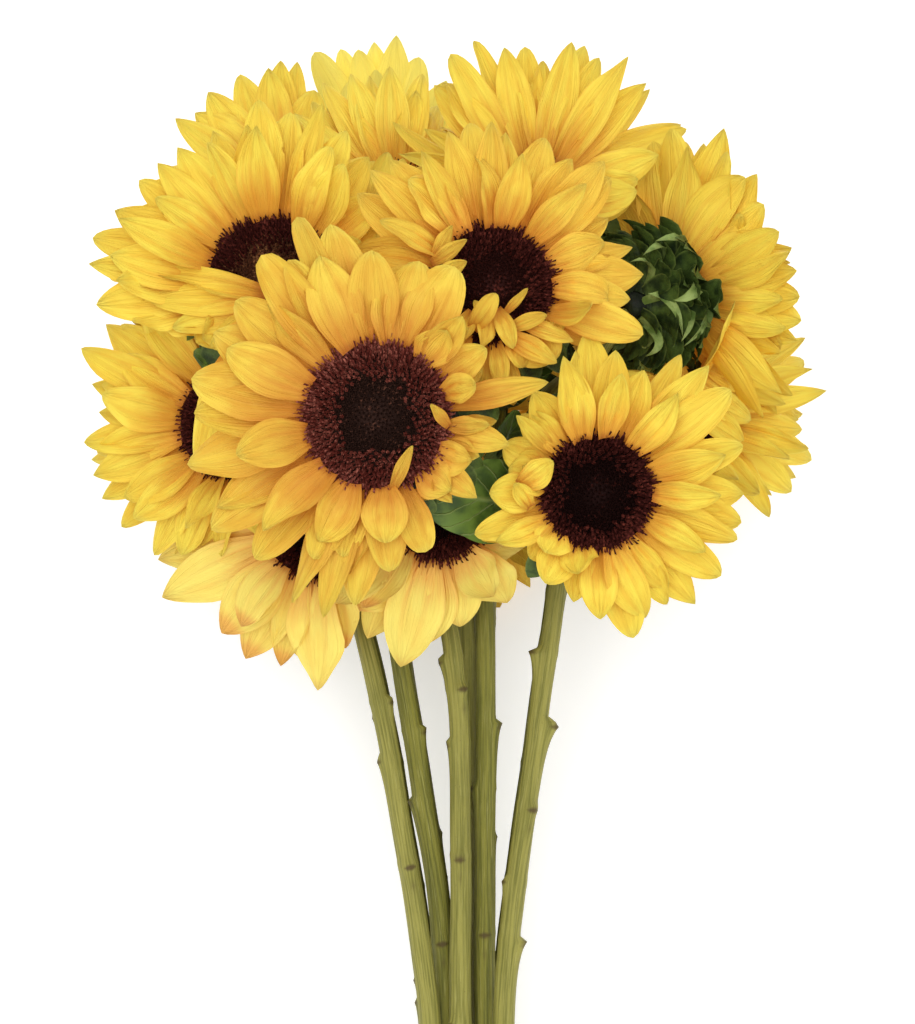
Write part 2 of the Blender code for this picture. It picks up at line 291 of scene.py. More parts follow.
# %% Table top
TABLE_HALF = 6.0
board = bpy.data.meshes.new("table_top")
corners = [(TABLE_HALF * x, TABLE_HALF * y, 0.0) for x, y in ((-1, -1), (1, -1), (1, 1), (-1, 1))]
board.from_pydata(corners, [], [(0, 1, 2, 3)])
table_finish = Finish("pale_board", Base_Color=colour(250, 250, 250), Specular_IOR_Level=0.1,
                      Emission_Color=(1, 1, 1, 1), Emission_Strength=0.3)
table_grain = table_finish.noise(table_finish.add("ShaderNodeTexCoord", out="Object"), 40.0)
table_finish.wear(Roughness=0.8 + 0.1 * table_grain)
board.materials.append(table_finish.material)
table_top = linked("table_top", board)
table_top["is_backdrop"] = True
print("table top:", 2 * TABLE_HALF, "m square")

# %% [markdown]
# ## From numbers to a mesh
# All shapes below are worked out as arrays of points, so one helper turns points and faces into
# an object. Another measures the volume that faces enclose, which comes out negative when they
# look inwards, so that the maker of a piece can turn them outwards. The object stays at the origin
# with its place in its mesh, as the imported nodes do.

# %% Mesh helpers
SHARP_FROM = math.radians(70)
CLEAR_OF_TABLE = 0.3 * MM


def unit(vector):
    vector = np.asarray(vector, float)
    return vector / np.maximum(np.linalg.norm(vector, axis=-1, keepdims=True), 1e-12)


def volume(points, quads):
    """Volume inside closed faces of four corners, as it is signed by the way they face."""
    a, b, c, d = (points[quads[:, k]] for k in range(4))
    return float((np.cross(b - a, c - a) * a).sum() + (np.cross(c - a, d - a) * a).sum()) / 6


def meshed(name, points, faces):
    """A mesh from points in metres; faces is a list of arrays, each with faces of one size."""
    mesh = bpy.data.meshes.new(name)
    mesh.from_pydata(points, [], [tuple(f) for part in faces for f in part.tolist()])
    return mesh


def new_piece(name, points, faces, finishes):
    """An object from bunch points, smooth but for its sharp edges."""
    mesh = meshed(name, laid_down(points), faces)
    mesh.shade_smooth()
    mesh.set_sharp_from_angle(angle=SHARP_FROM)
    for finish in finishes:
        mesh.materials.append(finish.material)
    return linked(name, mesh)


def off_the_table(piece):
    """Nothing of a piece sinks into the table: what would is pressed flat just above it."""
    points = np.zeros(len(piece.data.vertices) * 3)
    piece.data.vertices.foreach_get("co", points)
    points[2::3] = np.maximum(points[2::3], CLEAR_OF_TABLE)
    piece.data.vertices.foreach_set("co", points)
    piece.data.update()


def settled(piece, node):
    """Clear of the table, the piece rides with the bunch and stands for its CAD node, now hidden.
    """
    off_the_table(piece)
    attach(piece, "root")
    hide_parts(node)


def tube_faces(rows, ring):
    """Side faces of a tube of rows rings, and the two end faces, as arrays of corners."""
    r, q = np.meshgrid(np.arange(rows - 1), np.arange(ring), indexing="ij")
    here, there = r * ring + q, r * ring + (q + 1) % ring
    sides = np.stack([here, there, there + ring, here + ring], -1).reshape(-1, 4)
    return sides, np.arange(ring)[None, ::-1], (np.arange(ring) + (rows - 1) * ring)[None]


print("a tube of 3 rings of 8 has", len(tube_faces(3, 8)[0]), "side faces")


# %% [markdown]
# ## The blooms of the bunch
# Each bloom is told by its centre, the way it faces, the radius of its disc and the reach of
# its petals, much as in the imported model. Sixteen heads stand so close that petals of one pass
# under the next. The last entry is the finish of its petals, told further down.

# %% Bloom table
BLOOMS = {  # centre, facing, disc radius, petal reach, petals, petal width, petal finish
    1: ((-34, 252.5, 84), (-0.10, 0.04, 1.0), 32, 78, 44, 20, "rich"),
    2: ((-79, 309.5, 50), (-0.18, 0.20, 0.96), 28.5, 82, 52, 18.5, "gold"),
    3: ((14, 307, 62), (0.20, 0.18, 1.0), 26.5, 68, 50, 17, "amber"),
    4: ((56.5, 221.5, 66), (0.15, -0.08, 1.0), 25, 64, 48, 16.5, "gold"),
    5: ((-97, 250, 28), (-0.40, -0.05, 0.9), 24, 72, 50, 17, "gold"),
    6: ((-60, 208, 40), (-0.35, -0.15, 0.92), 24, 70, 20, 22, "pale"),
    7: ((-9, 216, 48), (0.05, -0.25, 0.95), 24, 62, 20, 22, "pale"),
    8: ((-77, 350, -2), (-0.32, 0.48, 0.82), 24, 68, 44, 16, "gold"),
    9: ((-27, 346, 14), (0.05, 0.48, 0.87), 23, 64, 44, 16, "lemon"),
    10: ((32, 346, 16), (0.15, 0.38, 0.90), 26, 80, 52, 17, "gold"),
    11: ((92, 306, 4), (0.66, 0.18, -0.72), 27, 70, 60, 18, "gold"),
    12: ((102, 256, 2), (0.58, 0.10, 0.80), 24, 68, 46, 16, "lemon"),
    13: ((-84, 286, -50), (-0.62, 0.10, -0.78), 26, 68, 42, 17, "gold"),
    14: ((74, 278, -50), (0.62, -0.02, -0.78), 26, 68, 42, 17, "gold"),
    15: ((-32, 356, -73), (-0.05, 0.35, -0.93), 26, 66, 42, 17, "fresh"),
    16: ((-6, 232, -75), (0.05, -0.12, -0.98), 25, 66, 42, 17, "amber"),
}


def bloom_axes(facing):
    """Two axes in the bloom's plane, the first of them level, and its facing."""
    facing = unit(facing)
    level = unit(np.cross((0.0, 1.0, 0.0), facing))
    return level, np.cross(facing, level), facing


print(sum(b[4] for b in BLOOMS.values()), "petals to make")

# %% [markdown]
# ## Stalks
# A sunflower stalk is a ridged green rod, thicker at the cut, with a knobbly scar wherever a
# leaf was stripped off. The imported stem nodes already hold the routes: six-sided rings strung
# from the cut to the neck. This cell reads the ring centres back from each node and runs a
# smooth curve through them, so the fine stalk stands exactly where the plain one does.

# %% Read the stem routes
STALK_CUT, STALK_NECK = 4.85, 3.7
RING_SPREAD = 7.0
STEPS_PER_SPAN = 10
INTO_CALYX = 6.0


def ring_centres(node):
    """Centres of the rings of a CAD stem, from the cut end to the neck."""
    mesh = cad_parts[node].data
    points = np.zeros(len(mesh.vertices) * 3)
    mesh.vertices.foreach_get("co", points)
    left = list(np.unique(lifted_up(points.reshape(-1, 3)).round(2), axis=0))
    centres = []
    while left:
        ring = [left.pop()]
        for member in ring:
            near = [np.linalg.norm(p - member) < RING_SPREAD for p in left]
            ring += [p for p, close in zip(left, near) if close]
            left = [p for p, close in zip(left, near) if not close]
        centres.append(np.mean(ring, axis=0))
    route = [centres.pop(int(np.argmin([c[1] for c in centres])))]
    while centres:
        gaps = [np.linalg.norm(c - route[-1]) for c in centres]
        route.append(centres.pop(int(np.argmin(gaps))))
    return np.array(route)


def smooth_route(centres):
    """A fine smooth curve through the ring centres."""
    slopes = np.gradient(centres, axis=0)
    t = np.linspace(0, 1, STEPS_PER_SPAN, endpoint=False)[:, None]
    spans = []
    for a, b, m, n in zip(centres, centres[1:], slopes, slopes[1:]):
        spans.append((2 * t**3 - 3 * t**2 + 1) * a + (t**3 - 2 * t**2 + t) * m
                     + (3 * t**2 - 2 * t**3) * b + (t**3 - t**2) * n)
    end = centres[-1] + unit(centres[-1] - spans[-1][-1]) * np.linspace(0, INTO_CALYX, 4)[:, None]
    return np.concatenate(spans + [end])


routes = {n: smooth_route(ring_centres(f"stem_{n:02d}")) for n in BLOOMS}
for n, route in routes.items():
    print(f"stem {n}: {np.linalg.norm(np.diff(route, axis=0), axis=1).sum():.0f} mm long")

# %% [markdown]
# ## The stalk's skin
# The stalk is a tube with fine ridges and swellings under each leaf scar: the swelling grows
# slowly from below and ends in a sharp ledge, which is how a stripped leaf leaves it. The places
# of scars on the front stalks are set one by one, and the rest are dealt out by a seed. How
# close a point is to a scar goes along as an attribute, so the finish can brown it.

# %% Stalk meshes
STALK_SIDES = 20
STALK_STEP = 2.0
RIDGES, RIDGE_DEPTH, WAVER = 8, 0.022, 0.03  # the last two as shares of the radius
SCARS = {  # stem: (v along the bunch, angle round the stalk from the right, swelling in mm)
    6: ((132.7, 10, 2.4), (108.8, 175, 2.0), (63.4, 80, 2.2)),
    2: ((120.1, 20, 2.4), (90.7, 170, 2.2), (30.2, 90, 1.8)),
    1: ((151.2, 180, 3.0), (138.6, 60, 2.4), (115.5, 175, 1.6), (67.2, 95, 2.4)),
    3: ((123.1, 5, 2.6), (95.8, 180, 2.4), (33.6, 90, 1.8)),
    4: ((153.7, 170, 5.2), (124.3, 8, 5.8), (88.6, 60, 2.6), (56.3, 175, 2.0), (31.5, 15, 3.4)),
}
SCAR_LEDGE, SCAR_RISE, SCAR_WIDE = 1.1, 8.0, 0.62  # mm, mm and radians
NODE_RING, NODE_RISE = 0.25, 1.6  # mm: a low ring round the stalk at each scar
STALKS_APART = 500  # gives each stalk a stretch of the grain of its own


def even_steps(route, step):
    """The route with a point at every step of its length, and the length at each."""
    length = np.concatenate([[0], np.cumsum(np.linalg.norm(np.diff(route, axis=0), axis=1))])
    at = np.linspace(0, length[-1], int(length[-1] / step) + 1)
    return np.stack([np.interp(at, length, route[:, k]) for k in range(3)], -1), at


def rings_along(route):
    """For each point of a route: its way, and two axes across it, to the right and up."""
    way = unit(np.gradient(route, axis=0))
    right = unit(np.array([1.0, 0.0, 0.0]) - way * way[:, :1])
    return way, right, np.cross(right, way)


def stalk_scars(number, rng):
    if number in SCARS:
        return SCARS[number] + ((rng.uniform(-25, 5), rng.uniform(0, 360), 1.6),)
    heights = np.arange(-40, 170, 52) + rng.uniform(-14, 14, 5)
    return [(v, 137 * k + rng.uniform(0, 90), rng.uniform(1.2, 2.4))
            for k, v in enumerate(heights)]


def stalk(number):
    """One stalk as points, faces and the scar attribute."""
    rng = np.random.default_rng(400 + number)
    route, length = even_steps(routes[number], STALK_STEP)
    way, right, up = rings_along(route)
    share = (length / length[-1])[:, None]
    angle = np.linspace(0, 2 * math.pi, STALK_SIDES, endpoint=False)[None]
    radius = STALK_CUT + (STALK_NECK - STALK_CUT) * share
    ridges = RIDGE_DEPTH * np.cos(RIDGES * angle + 2.2 * share)
    radius = radius * (1 + ridges + WAVER * np.sin(length[:, None] / 9 + angle))
    scar = np.zeros_like(radius)
    for v, turn, swell in stalk_scars(number, rng):
        at = np.interp(v, route[:, 1], length)
        below = (at - length)[:, None]
        along = np.where(below > 0, np.exp(-below / SCAR_RISE), np.exp(-(below / SCAR_LEDGE) ** 2))
        off = (angle - math.radians(turn) + math.pi) % (2 * math.pi) - math.pi
        around = np.exp(-(off / SCAR_WIDE) ** 2)
        radius = radius + swell * along * around
        radius = radius + NODE_RING * np.exp(-(below / NODE_RISE) ** 2)
        scar = np.maximum(scar, np.exp(-((below - 1.0) / NODE_RISE) ** 2) * around)
        scar = np.maximum(scar, 0.55 * np.exp(-np.abs(below - 9) / 9) * np.exp(-(off / 0.4) ** 2))
    points = route[:, None] + radius[..., None] * (
        np.cos(angle)[..., None] * right[:, None] + np.sin(angle)[..., None] * up[:, None])
    return points.reshape(-1, 3), tube_faces(len(route), STALK_SIDES), scar.ravel(), length


print("stalk 1 has", len(stalk(1)[3]), "rings over", round(stalk(1)[3][-1]), "mm")


# %% [markdown]
# ## Finish of the stalks
# Fresh stalks are olive green, paler where ridges catch the light, with brown scars and specks.
# Light and dark streaks are noise that is drawn out along the stalk, so the finish reads each
# point's place along and round it from an attribute.

# %% Stalk finish
def stalk_finish(name, light, dark):
    f = Finish(name, Roughness=0.6, Specular_IOR_Level=0.35)
    along, around, scar = f.parts(f.attribute("stalk", "Vector"))
    round_x, round_y = around.math("COSINE", around), around.math("SINE", around)
    streak = f.noise(f.vector(round_x * 3.0, round_y * 3.0, along * 0.02), 1.6, 4.0)
    fine = f.noise(f.vector(round_x * 10.0, round_y * 10.0, along * 0.05), 1.5, 3.0)
    speck = f.noise(f.vector(round_x * 6.0, round_y * 6.0, along * 0.9), 1.2, 3.0)
    skin = f.blend(streak.between(0.35, 0.68), light, dark)
    skin = f.blend(fine.between(0.52, 0.72) * 0.55, skin, colour(176, 170, 98))
    skin = f.blend(speck.between(0.66, 0.74) * 0.5, skin, colour(96, 84, 34))
    skin = f.blend(scar.between(0.25, 0.8) * 0.85, skin, colour(74, 55, 22))
    f.wear(Base_Color=skin, Roughness=0.5 + 0.2 * fine)
    f.relief(fine + 0.6 * speck, 0.0004)
    return f


olive = stalk_finish("stalk_olive", colour(150, 144, 66), colour(112, 110, 40))
moss = stalk_finish("stalk_moss", colour(134, 130, 48), colour(96, 97, 30))
pith = Finish("stalk_pith", Roughness=0.8)
pith_noise = pith.noise(pith.add("ShaderNodeTexCoord", out="Object"), 900.0, 2.0)
pith.wear(Base_Color=pith.blend(pith_noise, colour(214, 214, 168), colour(170, 176, 110)))
pith.relief(pith_noise, 0.0003)

OLIVE_STALKS = (1, 4, 6, 7)
for n in BLOOMS:
    points, (sides, foot_end, neck_end), scar, length = stalk(n)
    if volume(points, sides) < 0:
        sides, foot_end, neck_end = sides[:, ::-1], foot_end[:, ::-1], neck_end[:, ::-1]
    piece = new_piece(f"stalk_{n:02d}", points, [sides, foot_end, neck_end],
                      [olive if n in OLIVE_STALKS else moss, pith])
    piece.data.polygons[len(sides)].material_index = 1
    mark = piece.data.attributes.new("stalk", "FLOAT_VECTOR", "POINT")
    turn = np.tile(np.linspace(0, 2 * math.pi, STALK_SIDES, endpoint=False), len(length))
    values = np.stack([np.repeat(length, STALK_SIDES) + STALKS_APART * n, turn, scar], -1)
    mark.data.foreach_set("vector", values.ravel())
    settled(piece, f"stem_{n:02d}")
print("stalks:", len(BLOOMS), "with", STALK_SIDES, "sides each")

# %% [markdown]
# ## A blade: the shape that petals, bracts and leaves share
# A petal is a thin blade that starts narrow, widens, and ends in a point. It could be cut from a
# grid and bent by modifiers, but each petal bends in its own way, so it is drawn from numbers: a
# middle line with two axes along it, and the half width at each step.

# %% Outlines and middle lines
BELLY, TIP_TAPER = 0.6, 3.2  # where along it a blade is widest, and how late it narrows again


def spots(rows):
    """Places of the rings along a blade, as shares of its length, closer towards the tip."""
    return 1 - (1 - np.linspace(0, 1, rows + 1)) ** 1.4


def outline(share, foot, point):
    """Half width of a blade along its length, as a share of its greatest: foot at the start."""
    swell = foot + (1 - foot) * np.sin(np.minimum(share / BELLY, 1.0) * math.pi / 2) ** 1.2
    return swell * np.maximum(1 - share**TIP_TAPER, 0.0) ** point


def blade_line(start, out, across, front, length, lift, curl, sway, rows):
    """Middle lines of blades and the axes along them, for arrays of lift, curl and sway."""
    s = spots(rows)
    rise = lift[:, None] + curl[:, None] * s**1.5
    veer = sway[:, None] * s
    flat = np.cos(veer)[..., None] * out + np.sin(veer)[..., None] * across
    way = np.cos(rise)[..., None] * flat + np.sin(rise)[..., None] * front
    over = -np.sin(rise)[..., None] * flat + np.cos(rise)[..., None] * front
    steps = (way[:, 1:] + way[:, :-1]) / 2 * (length[:, None, None] * np.diff(s)[:, None])
    middle = start + np.concatenate([np.zeros_like(steps[:, :1]), np.cumsum(steps, axis=1)], 1)
    return middle, way, over


def bowed_line(start, bow, tip, rows):
    """A middle line from start to tip that bows towards a third point, and its way."""
    s = spots(rows)[:, None]
    middle = (1 - s) ** 2 * start + 2 * s * (1 - s) * bow + s * s * tip
    return middle, unit(2 * (1 - s) * (bow - start) + 2 * s * (tip - bow))


print("half widths along a blade:", outline(spots(6), 0.5, 1.0).round(2))


# %% [markdown]
# ## The shell of a blade
# Across its middle line a blade is cupped and creased, and its edges wave. A single sheet would
# have no thickness, so the blade is a flattened tube: the top and the underside share their edge
# points, and the shell is closed at its foot and its tip.

# %% Blade shells
def blade_shell(middle, way, over, half, cup, roll, crease, wave, phase, thick, cells):
    """Points of one blade: rows of closed rings of 2 * cells points, then its tip."""
    rows = len(middle) - 1
    s = spots(rows)[:rows, None]
    side = np.cross(over, way)
    tilt = roll[0] + (roll[1] - roll[0]) * s
    side, over = (side[:rows] * np.cos(tilt) + over[:rows] * np.sin(tilt),
                  over[:rows] * np.cos(tilt) - side[:rows] * np.sin(tilt))
    t = np.linspace(-1, 1, cells + 1)[None]
    bend = cup[0] + (cup[1] - cup[0]) * s
    bend = np.where(np.abs(bend) < 0.05, 0.05, bend)
    wide = half[:rows, None]
    x = wide * np.sin(bend * t) / bend
    z = wide * (1 - np.cos(bend * t)) / bend
    full = wide / half.max()
    z = z + crease * full * np.cos(3 * math.pi * t) * np.minimum(1, 5 * s) * (1 - 0.5 * s)
    ripple = np.sin(2 * math.pi * (1.3 + 0.5 * np.sign(t)) * s + phase + 2 * t)
    z = z + wave * full * np.abs(t) ** 2 * ripple * s
    body = thick / 2 * np.sqrt(np.maximum(1 - t**2, 0)) * np.ones_like(s)
    sheet = middle[:rows, None] + x[..., None] * side[:, None] + z[..., None] * over[:, None]
    top = sheet + body[..., None] * over[:, None]
    under = sheet - body[..., None] * over[:, None]
    ring = np.concatenate([top, under[:, -2:0:-1]], axis=1)
    return np.concatenate([ring.reshape(-1, 3), middle[rows:rows + 1]])


def blade_faces(rows, cells):
    """Faces of one blade shell: four-cornered sides, the pointed tip and the closed foot."""
    ring = 2 * cells
    sides, foot, last = tube_faces(rows, ring)
    last = last[0]
    tip = np.stack([last, np.roll(last, -1), np.full(ring, rows * ring)], -1)
    return sides, tip, foot


print("a blade of 12 rows and 6 cells has", sum(len(f) for f in blade_faces(12, 6)), "faces")


# %% [markdown]
# ## Many blades in one piece
# The petals of a bloom are joined into one piece, to keep the number of pieces small. Each point
# carries an attribute that says how far across and along its own blade it is, and a mark that
# tells blades apart. A map also lays every blade flat in a cell of its own, so that whoever
# paints or bakes the piece finds no two blades on the same spot.

# %% Join blades
def blades_piece(name, shells, marks, rows, cells, finishes):
    """Joins blade shells into one piece with its attribute and its flat map."""
    sides, tip, foot = blade_faces(rows, cells)
    ring, each = 2 * cells, 2 * cells * rows + 1
    if volume(shells[0], sides) > 0:
        spin = 1
    else:
        sides, tip, foot, spin = sides[:, ::-1], tip[:, ::-1], foot[:, ::-1], -1
    offsets = each * np.arange(len(shells))[:, None, None]
    faces = [(part[None] + offsets).reshape(-1, part.shape[1]) for part in (sides, tip, foot)]
    piece = new_piece(name, np.concatenate(shells), faces, finishes)
    t = np.linspace(-1, 1, cells + 1)
    across = np.concatenate([t, t[-2:0:-1]])
    blade = np.zeros((len(shells), each, 3))
    blade[:, :-1, 0] = np.tile(across, rows)
    blade[:, :-1, 1] = np.repeat(spots(rows)[:-1], ring)
    blade[:, -1, 1] = 1.0
    blade[:, :, 2] = np.asarray(marks)[:, None]
    mark = piece.data.attributes.new("blade", "FLOAT_VECTOR", "POINT")
    mark.data.foreach_set("vector", blade.ravel())
    q = np.arange((rows - 1) * ring) % ring
    r = np.arange((rows - 1) * ring) // ring
    flat_sides = np.stack([np.stack([q, q + 1, q + 1, q], -1) / ring,
                           np.stack([r, r, r + 1, r + 1], -1) / rows], -1)
    k, last = np.arange(ring), np.full(ring, rows - 1)
    flat_tip = np.stack([np.stack([k, k + 1, k + 0.5], -1) / ring,
                         np.stack([last, last, last + 1], -1) / rows], -1)
    turn = np.linspace(0, 2 * math.pi, ring, endpoint=False)
    flat_foot = (0.5, -0.016) + 0.008 * np.stack([np.cos(turn), np.sin(turn)], -1)[None]
    flats = [part[:, ::spin] for part in (flat_sides, flat_tip, flat_foot)]
    grid = math.ceil(math.sqrt(len(shells)))
    n = np.arange(len(shells))
    corner = np.stack([n % grid, n // grid], -1)[:, None, None]
    cell = [((0.03 + 0.94 * part[None]) + corner).reshape(-1, 2) / grid for part in flats]
    layer = piece.data.uv_layers.new(name="OFBake")
    layer.data.foreach_set("uv", np.concatenate(cell).ravel())
    return piece


# %% [markdown]
# ## Leaves
# A few leaves are left on the stalks between the heads. Each is a broad blade on a short stalk,
# folded along its midrib, with pale side veins that stand out a little. The veins could be cut
# into the mesh, but they are so fine that the finish draws them, as colour and as relief.

# %% Leaf finish
def leaf_finish():
    f = Finish("leaf_green", Roughness=0.45, Specular_IOR_Level=0.45)
    across, along, _ = f.parts(f.attribute("blade", "Vector"))
    side = across.math("ABSOLUTE", across)
    cloud = f.noise(f.add("ShaderNodeTexCoord", out="Object"), 110.0, 4.0)
    slant = along * 9.0 - side * 2.6 + 0.5 * cloud
    comb = slant.math("PINGPONG", slant, 0.5)
    vein = 1.0 - comb.between(0.0, 0.09)
    rib = 1.0 - side.between(0.0, 0.09)
    lines = vein.math("MAXIMUM", vein, rib)
    skin = f.blend(cloud.between(0.35, 0.65), colour(60, 88, 25), colour(104, 134, 48))
    skin = f.blend(lines * 0.7, skin, colour(138, 154, 82))
    f.wear(Base_Color=skin, Roughness=0.4 + 0.2 * cloud)
    f.relief(0.6 * lines + 0.5 * cloud, 0.0005)
    return f


leaf_green = leaf_finish()
print("leaf finish:", len(leaf_green.tree.nodes), "nodes")

# %% [markdown]
# ## Lay the leaves
# There are too few leaves for a rule, so each has a row in a table. It starts on its own stalk,
# bows towards its upper side and ends at its tip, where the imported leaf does.

# %% Leaves
LEAVES = {  # bearing stalk, height on it, tip, half width, upper side
    1: (4, 216, (-28, 226, 65), 17, (0.1, -0.2, 0.95)),
    2: (3, 262, (44, 282, 52), 13, (-0.5, 0.0, 0.9)),
    3: (3, 222, (23, 256, 58), 12, (0.2, -0.5, 0.8)),
    4: (2, 255, (-112, 281, 38), 15, (0.3, -0.2, 0.9)),
    5: (1, 238, (-78, 208, 66), 11, (-0.2, 0.3, 0.9)),
    6: (16, 176, (-52, 236, -62), 15, (-0.2, -0.5, -0.8)),
    7: (14, 206, (48, 214, -70), 15, (0.4, -0.8, -0.4)),
    8: (13, 250, (-20, 288, -78), 15, (0.2, 0.0, -0.9)),
}
BOW, HIGH_BOW = 0.14, {1: 0.26}  # share of its length that a leaf bows
LEAF_ROWS, LEAF_CELLS = 30, 10
LEAF_FOOT, LEAF_STALK = 0.06, 1.4  # share of its length that is leaf stalk, and half its width
LOBES, LOBE_DEPTH = 16, 0.05  # waves of the edge in radians, and their depth as a share

front_leaves = []
for n, (bearer, height, tip, half_width, upper) in LEAVES.items():
    route = routes[bearer]
    rise = route[route[:, 1] > -60]
    foot = np.array([np.interp(height, rise[:, 1], rise[:, k]) for k in range(3)])
    tip, upper = np.array(tip, float), unit(upper)
    start = foot + unit(tip - foot) * STALK_NECK * 0.6
    bow = (start + tip) / 2 + HIGH_BOW.get(n, BOW) * np.linalg.norm(tip - start) * upper
    middle, way = bowed_line(start, bow, tip, LEAF_ROWS)
    over = unit(upper - way * (way @ upper)[:, None])
    s = spots(LEAF_ROWS)
    blade = np.clip((s - LEAF_FOOT) / (1 - LEAF_FOOT), 0, 1)
    half = LEAF_STALK + (half_width - 0.5) * np.sin(math.pi * blade**0.8) ** 0.9
    half[-1] = 0
    half *= 1 + LOBE_DEPTH * np.abs(np.sin(LOBES * s))
    shell = blade_shell(middle, way, over, half, cup=(0.35, 0.55), roll=(0, 0.1), crease=0.25,
                        wave=1.6, phase=n, thick=0.7, cells=LEAF_CELLS)
    if upper[2] > 0:
        front_leaves.append(shell)
    piece = blades_piece(f"leaf_blade_{n:02d}", [shell], [0.1 * n], LEAF_ROWS, LEAF_CELLS,
                         [leaf_green])
    settled(piece, f"leaf_{n:02d}")
    print(f"leaf {n}: {np.linalg.norm(tip - start):.0f} mm long")

# %% [markdown]
# ## Room for the petals
# In a tight bunch each petal finds its own way between its neighbours. Before any petal is laid,
# this cell marks what it can't grow through: the heads and the stalks, in a coarse grid of
# cells that say how deep inside a head or stalk they are and whose it is. Two height maps grow
# as petals are laid: the underside of what the front blooms have covered, and the upper side of
# what the rear blooms have covered. Later petals keep under the first and above the second.

# %% Grid of heads and stalks
CELL = 3.0
GRID_LOW = np.array([-180.0, -90.0, -130.0])
GRID_SHAPE = (120, 180, 90)
MAP_CELL = 2.0
MAP_LOW = np.array([-190.0, 60.0])
MAP_SHAPE = (190, 200)
HEAD_HEIGHTS = (-31, -29, -17, -5, 3, 9, 10)  # above the petals' plane, and the head's girth there
HEAD_GIRTHS = (0.0, 0.3, 0.78, 1.12, 1.08, 0.8, 0.0)
STALK_ROOM = 6.5


def cells_of(points, low, size, shape):
    """Grid cell of each point, held inside the grid."""
    at = ((np.asarray(points) - low) / size).astype(int)
    return tuple(np.clip(at[..., k], 0, shape[k] - 1) for k in range(len(shape)))


depth_inside = np.zeros(GRID_SHAPE)
owner = np.zeros(GRID_SHAPE, int)
axes = [GRID_LOW[k] + CELL * (np.arange(GRID_SHAPE[k]) + 0.5) for k in range(3)]
centres = np.stack(np.meshgrid(*axes, indexing="ij"), -1)


def mark_inside(depth, number, where=np.s_[:]):
    """Where depth is the greatest so far, the cells are this bloom's."""
    deeper = depth > depth_inside[where]
    depth_inside[where][deeper] = depth[deeper]
    owner[where][deeper] = number


for n, (centre, facing, disc, *_) in BLOOMS.items():
    off = centres - np.array(centre)
    height = off @ unit(facing)
    girth = np.sqrt(np.maximum((off**2).sum(-1) - height**2, 0))
    mark_inside(disc * np.interp(height, HEAD_HEIGHTS, HEAD_GIRTHS) + 2.0 - girth, n)
for n, route in routes.items():
    for point in even_steps(route, 4.0)[0]:
        low = [max(0, i - 3) for i in (int(c) for c in (point - GRID_LOW) / CELL)]
        where = tuple(slice(i, i + 7) for i in low)
        mark_inside(STALK_ROOM - np.linalg.norm(centres[where] - point, axis=-1), n, where)
print(int((depth_inside > 0).sum()), "cells are inside a head or a stalk")

# %% [markdown]
# ## Laying a petal
# A petal has a way it would like to grow, set by its place in the flower, and some hundred other
# ways it could: lifted or dropped, curled, swayed aside or shorter. A cloth simulation could
# push petals apart, but it would be slow and hard to steer. So the ways are all tried at once,
# and this cell holds them, what straying costs, and the two height maps.

# %% Ways to try and maps
PETAL_ROWS, PETAL_CELLS = 12, 6
LIFTS = np.radians([-55, -38, -24, -12, 0, 10, 22])
CURLS = np.radians([-35, 0, 30])
SWAYS = np.radians([-20, 0, 20])
LENGTHS = np.array([1.0, 0.86, 0.68])
TRIES = np.array([(a, b, c, d) for a in LIFTS for b in CURLS for c in SWAYS for d in LENGTHS])
STRAYED = np.stack([np.abs(TRIES[:, 0]), np.abs(TRIES[:, 1]), np.abs(TRIES[:, 2]),
                    1 - TRIES[:, 3]])
FREE_COST = np.array([5.0, 2.5, 6.0, 14.0])
SET_COST = np.array([6.0, 2.5, 24.0, 60.0])  # for a petal whose tip has its place
FIRM_COST = np.array([60.0, 30.0, 60.0, 90.0])  # for one that pushes its way through
FRONT_ORDER = (1, 4, 3, 2, 7, 5, 6, 10, 11, 9, 12, 8)
REAR_ORDER = (16, 15, 13, 14)
PETAL_GAP, TABLE_GAP = 1.0, 0.8
TALLEST = 196.0
HEAD_WEIGHT, TABLE_WEIGHT, CROWD_WEIGHT = 2.5, 2.0, 3.0
WORST_OVERLAP = 25  # mm: being further on the wrong side of another bloom counts no more
BARE_BACK = ((85, 307), (26, 41), -4.0)  # bloom 11's green back: middle, half sizes, clear height

front_under = np.full(MAP_SHAPE, 400.0)
rear_over = np.full(MAP_SHAPE, -400.0)
map_axes = [MAP_LOW[k] + MAP_CELL * (np.arange(MAP_SHAPE[k]) + 0.5) for k in range(2)]
map_places = np.stack(np.meshgrid(*map_axes, indexing="ij"), -1)
bare_back = (((map_places - BARE_BACK[0]) / BARE_BACK[1]) ** 2).sum(-1) < 1


def cover(points, rear):
    """Enters points into the map of what the front or the rear blooms have covered."""
    at = cells_of(points[:, :2], MAP_LOW, MAP_CELL, MAP_SHAPE)
    for du in (-1, 0, 1):
        for dv in (-1, 0, 1):
            near = tuple(np.clip(at[k] + step, 0, MAP_SHAPE[k] - 1)
                         for k, step in enumerate((du, dv)))
            if rear:
                np.maximum.at(rear_over, near, points[:, 2])
            else:
                np.minimum.at(front_under, near, points[:, 2])


print(len(TRIES), "ways to try for each petal")


# %% [markdown]
# ## Score the ways
# Each way is scored by how far it runs into heads, stalks, the table and the petals of blooms
# already laid, plus a little for how far it strays from the petal's own wish. The way with the
# lowest score is grown.

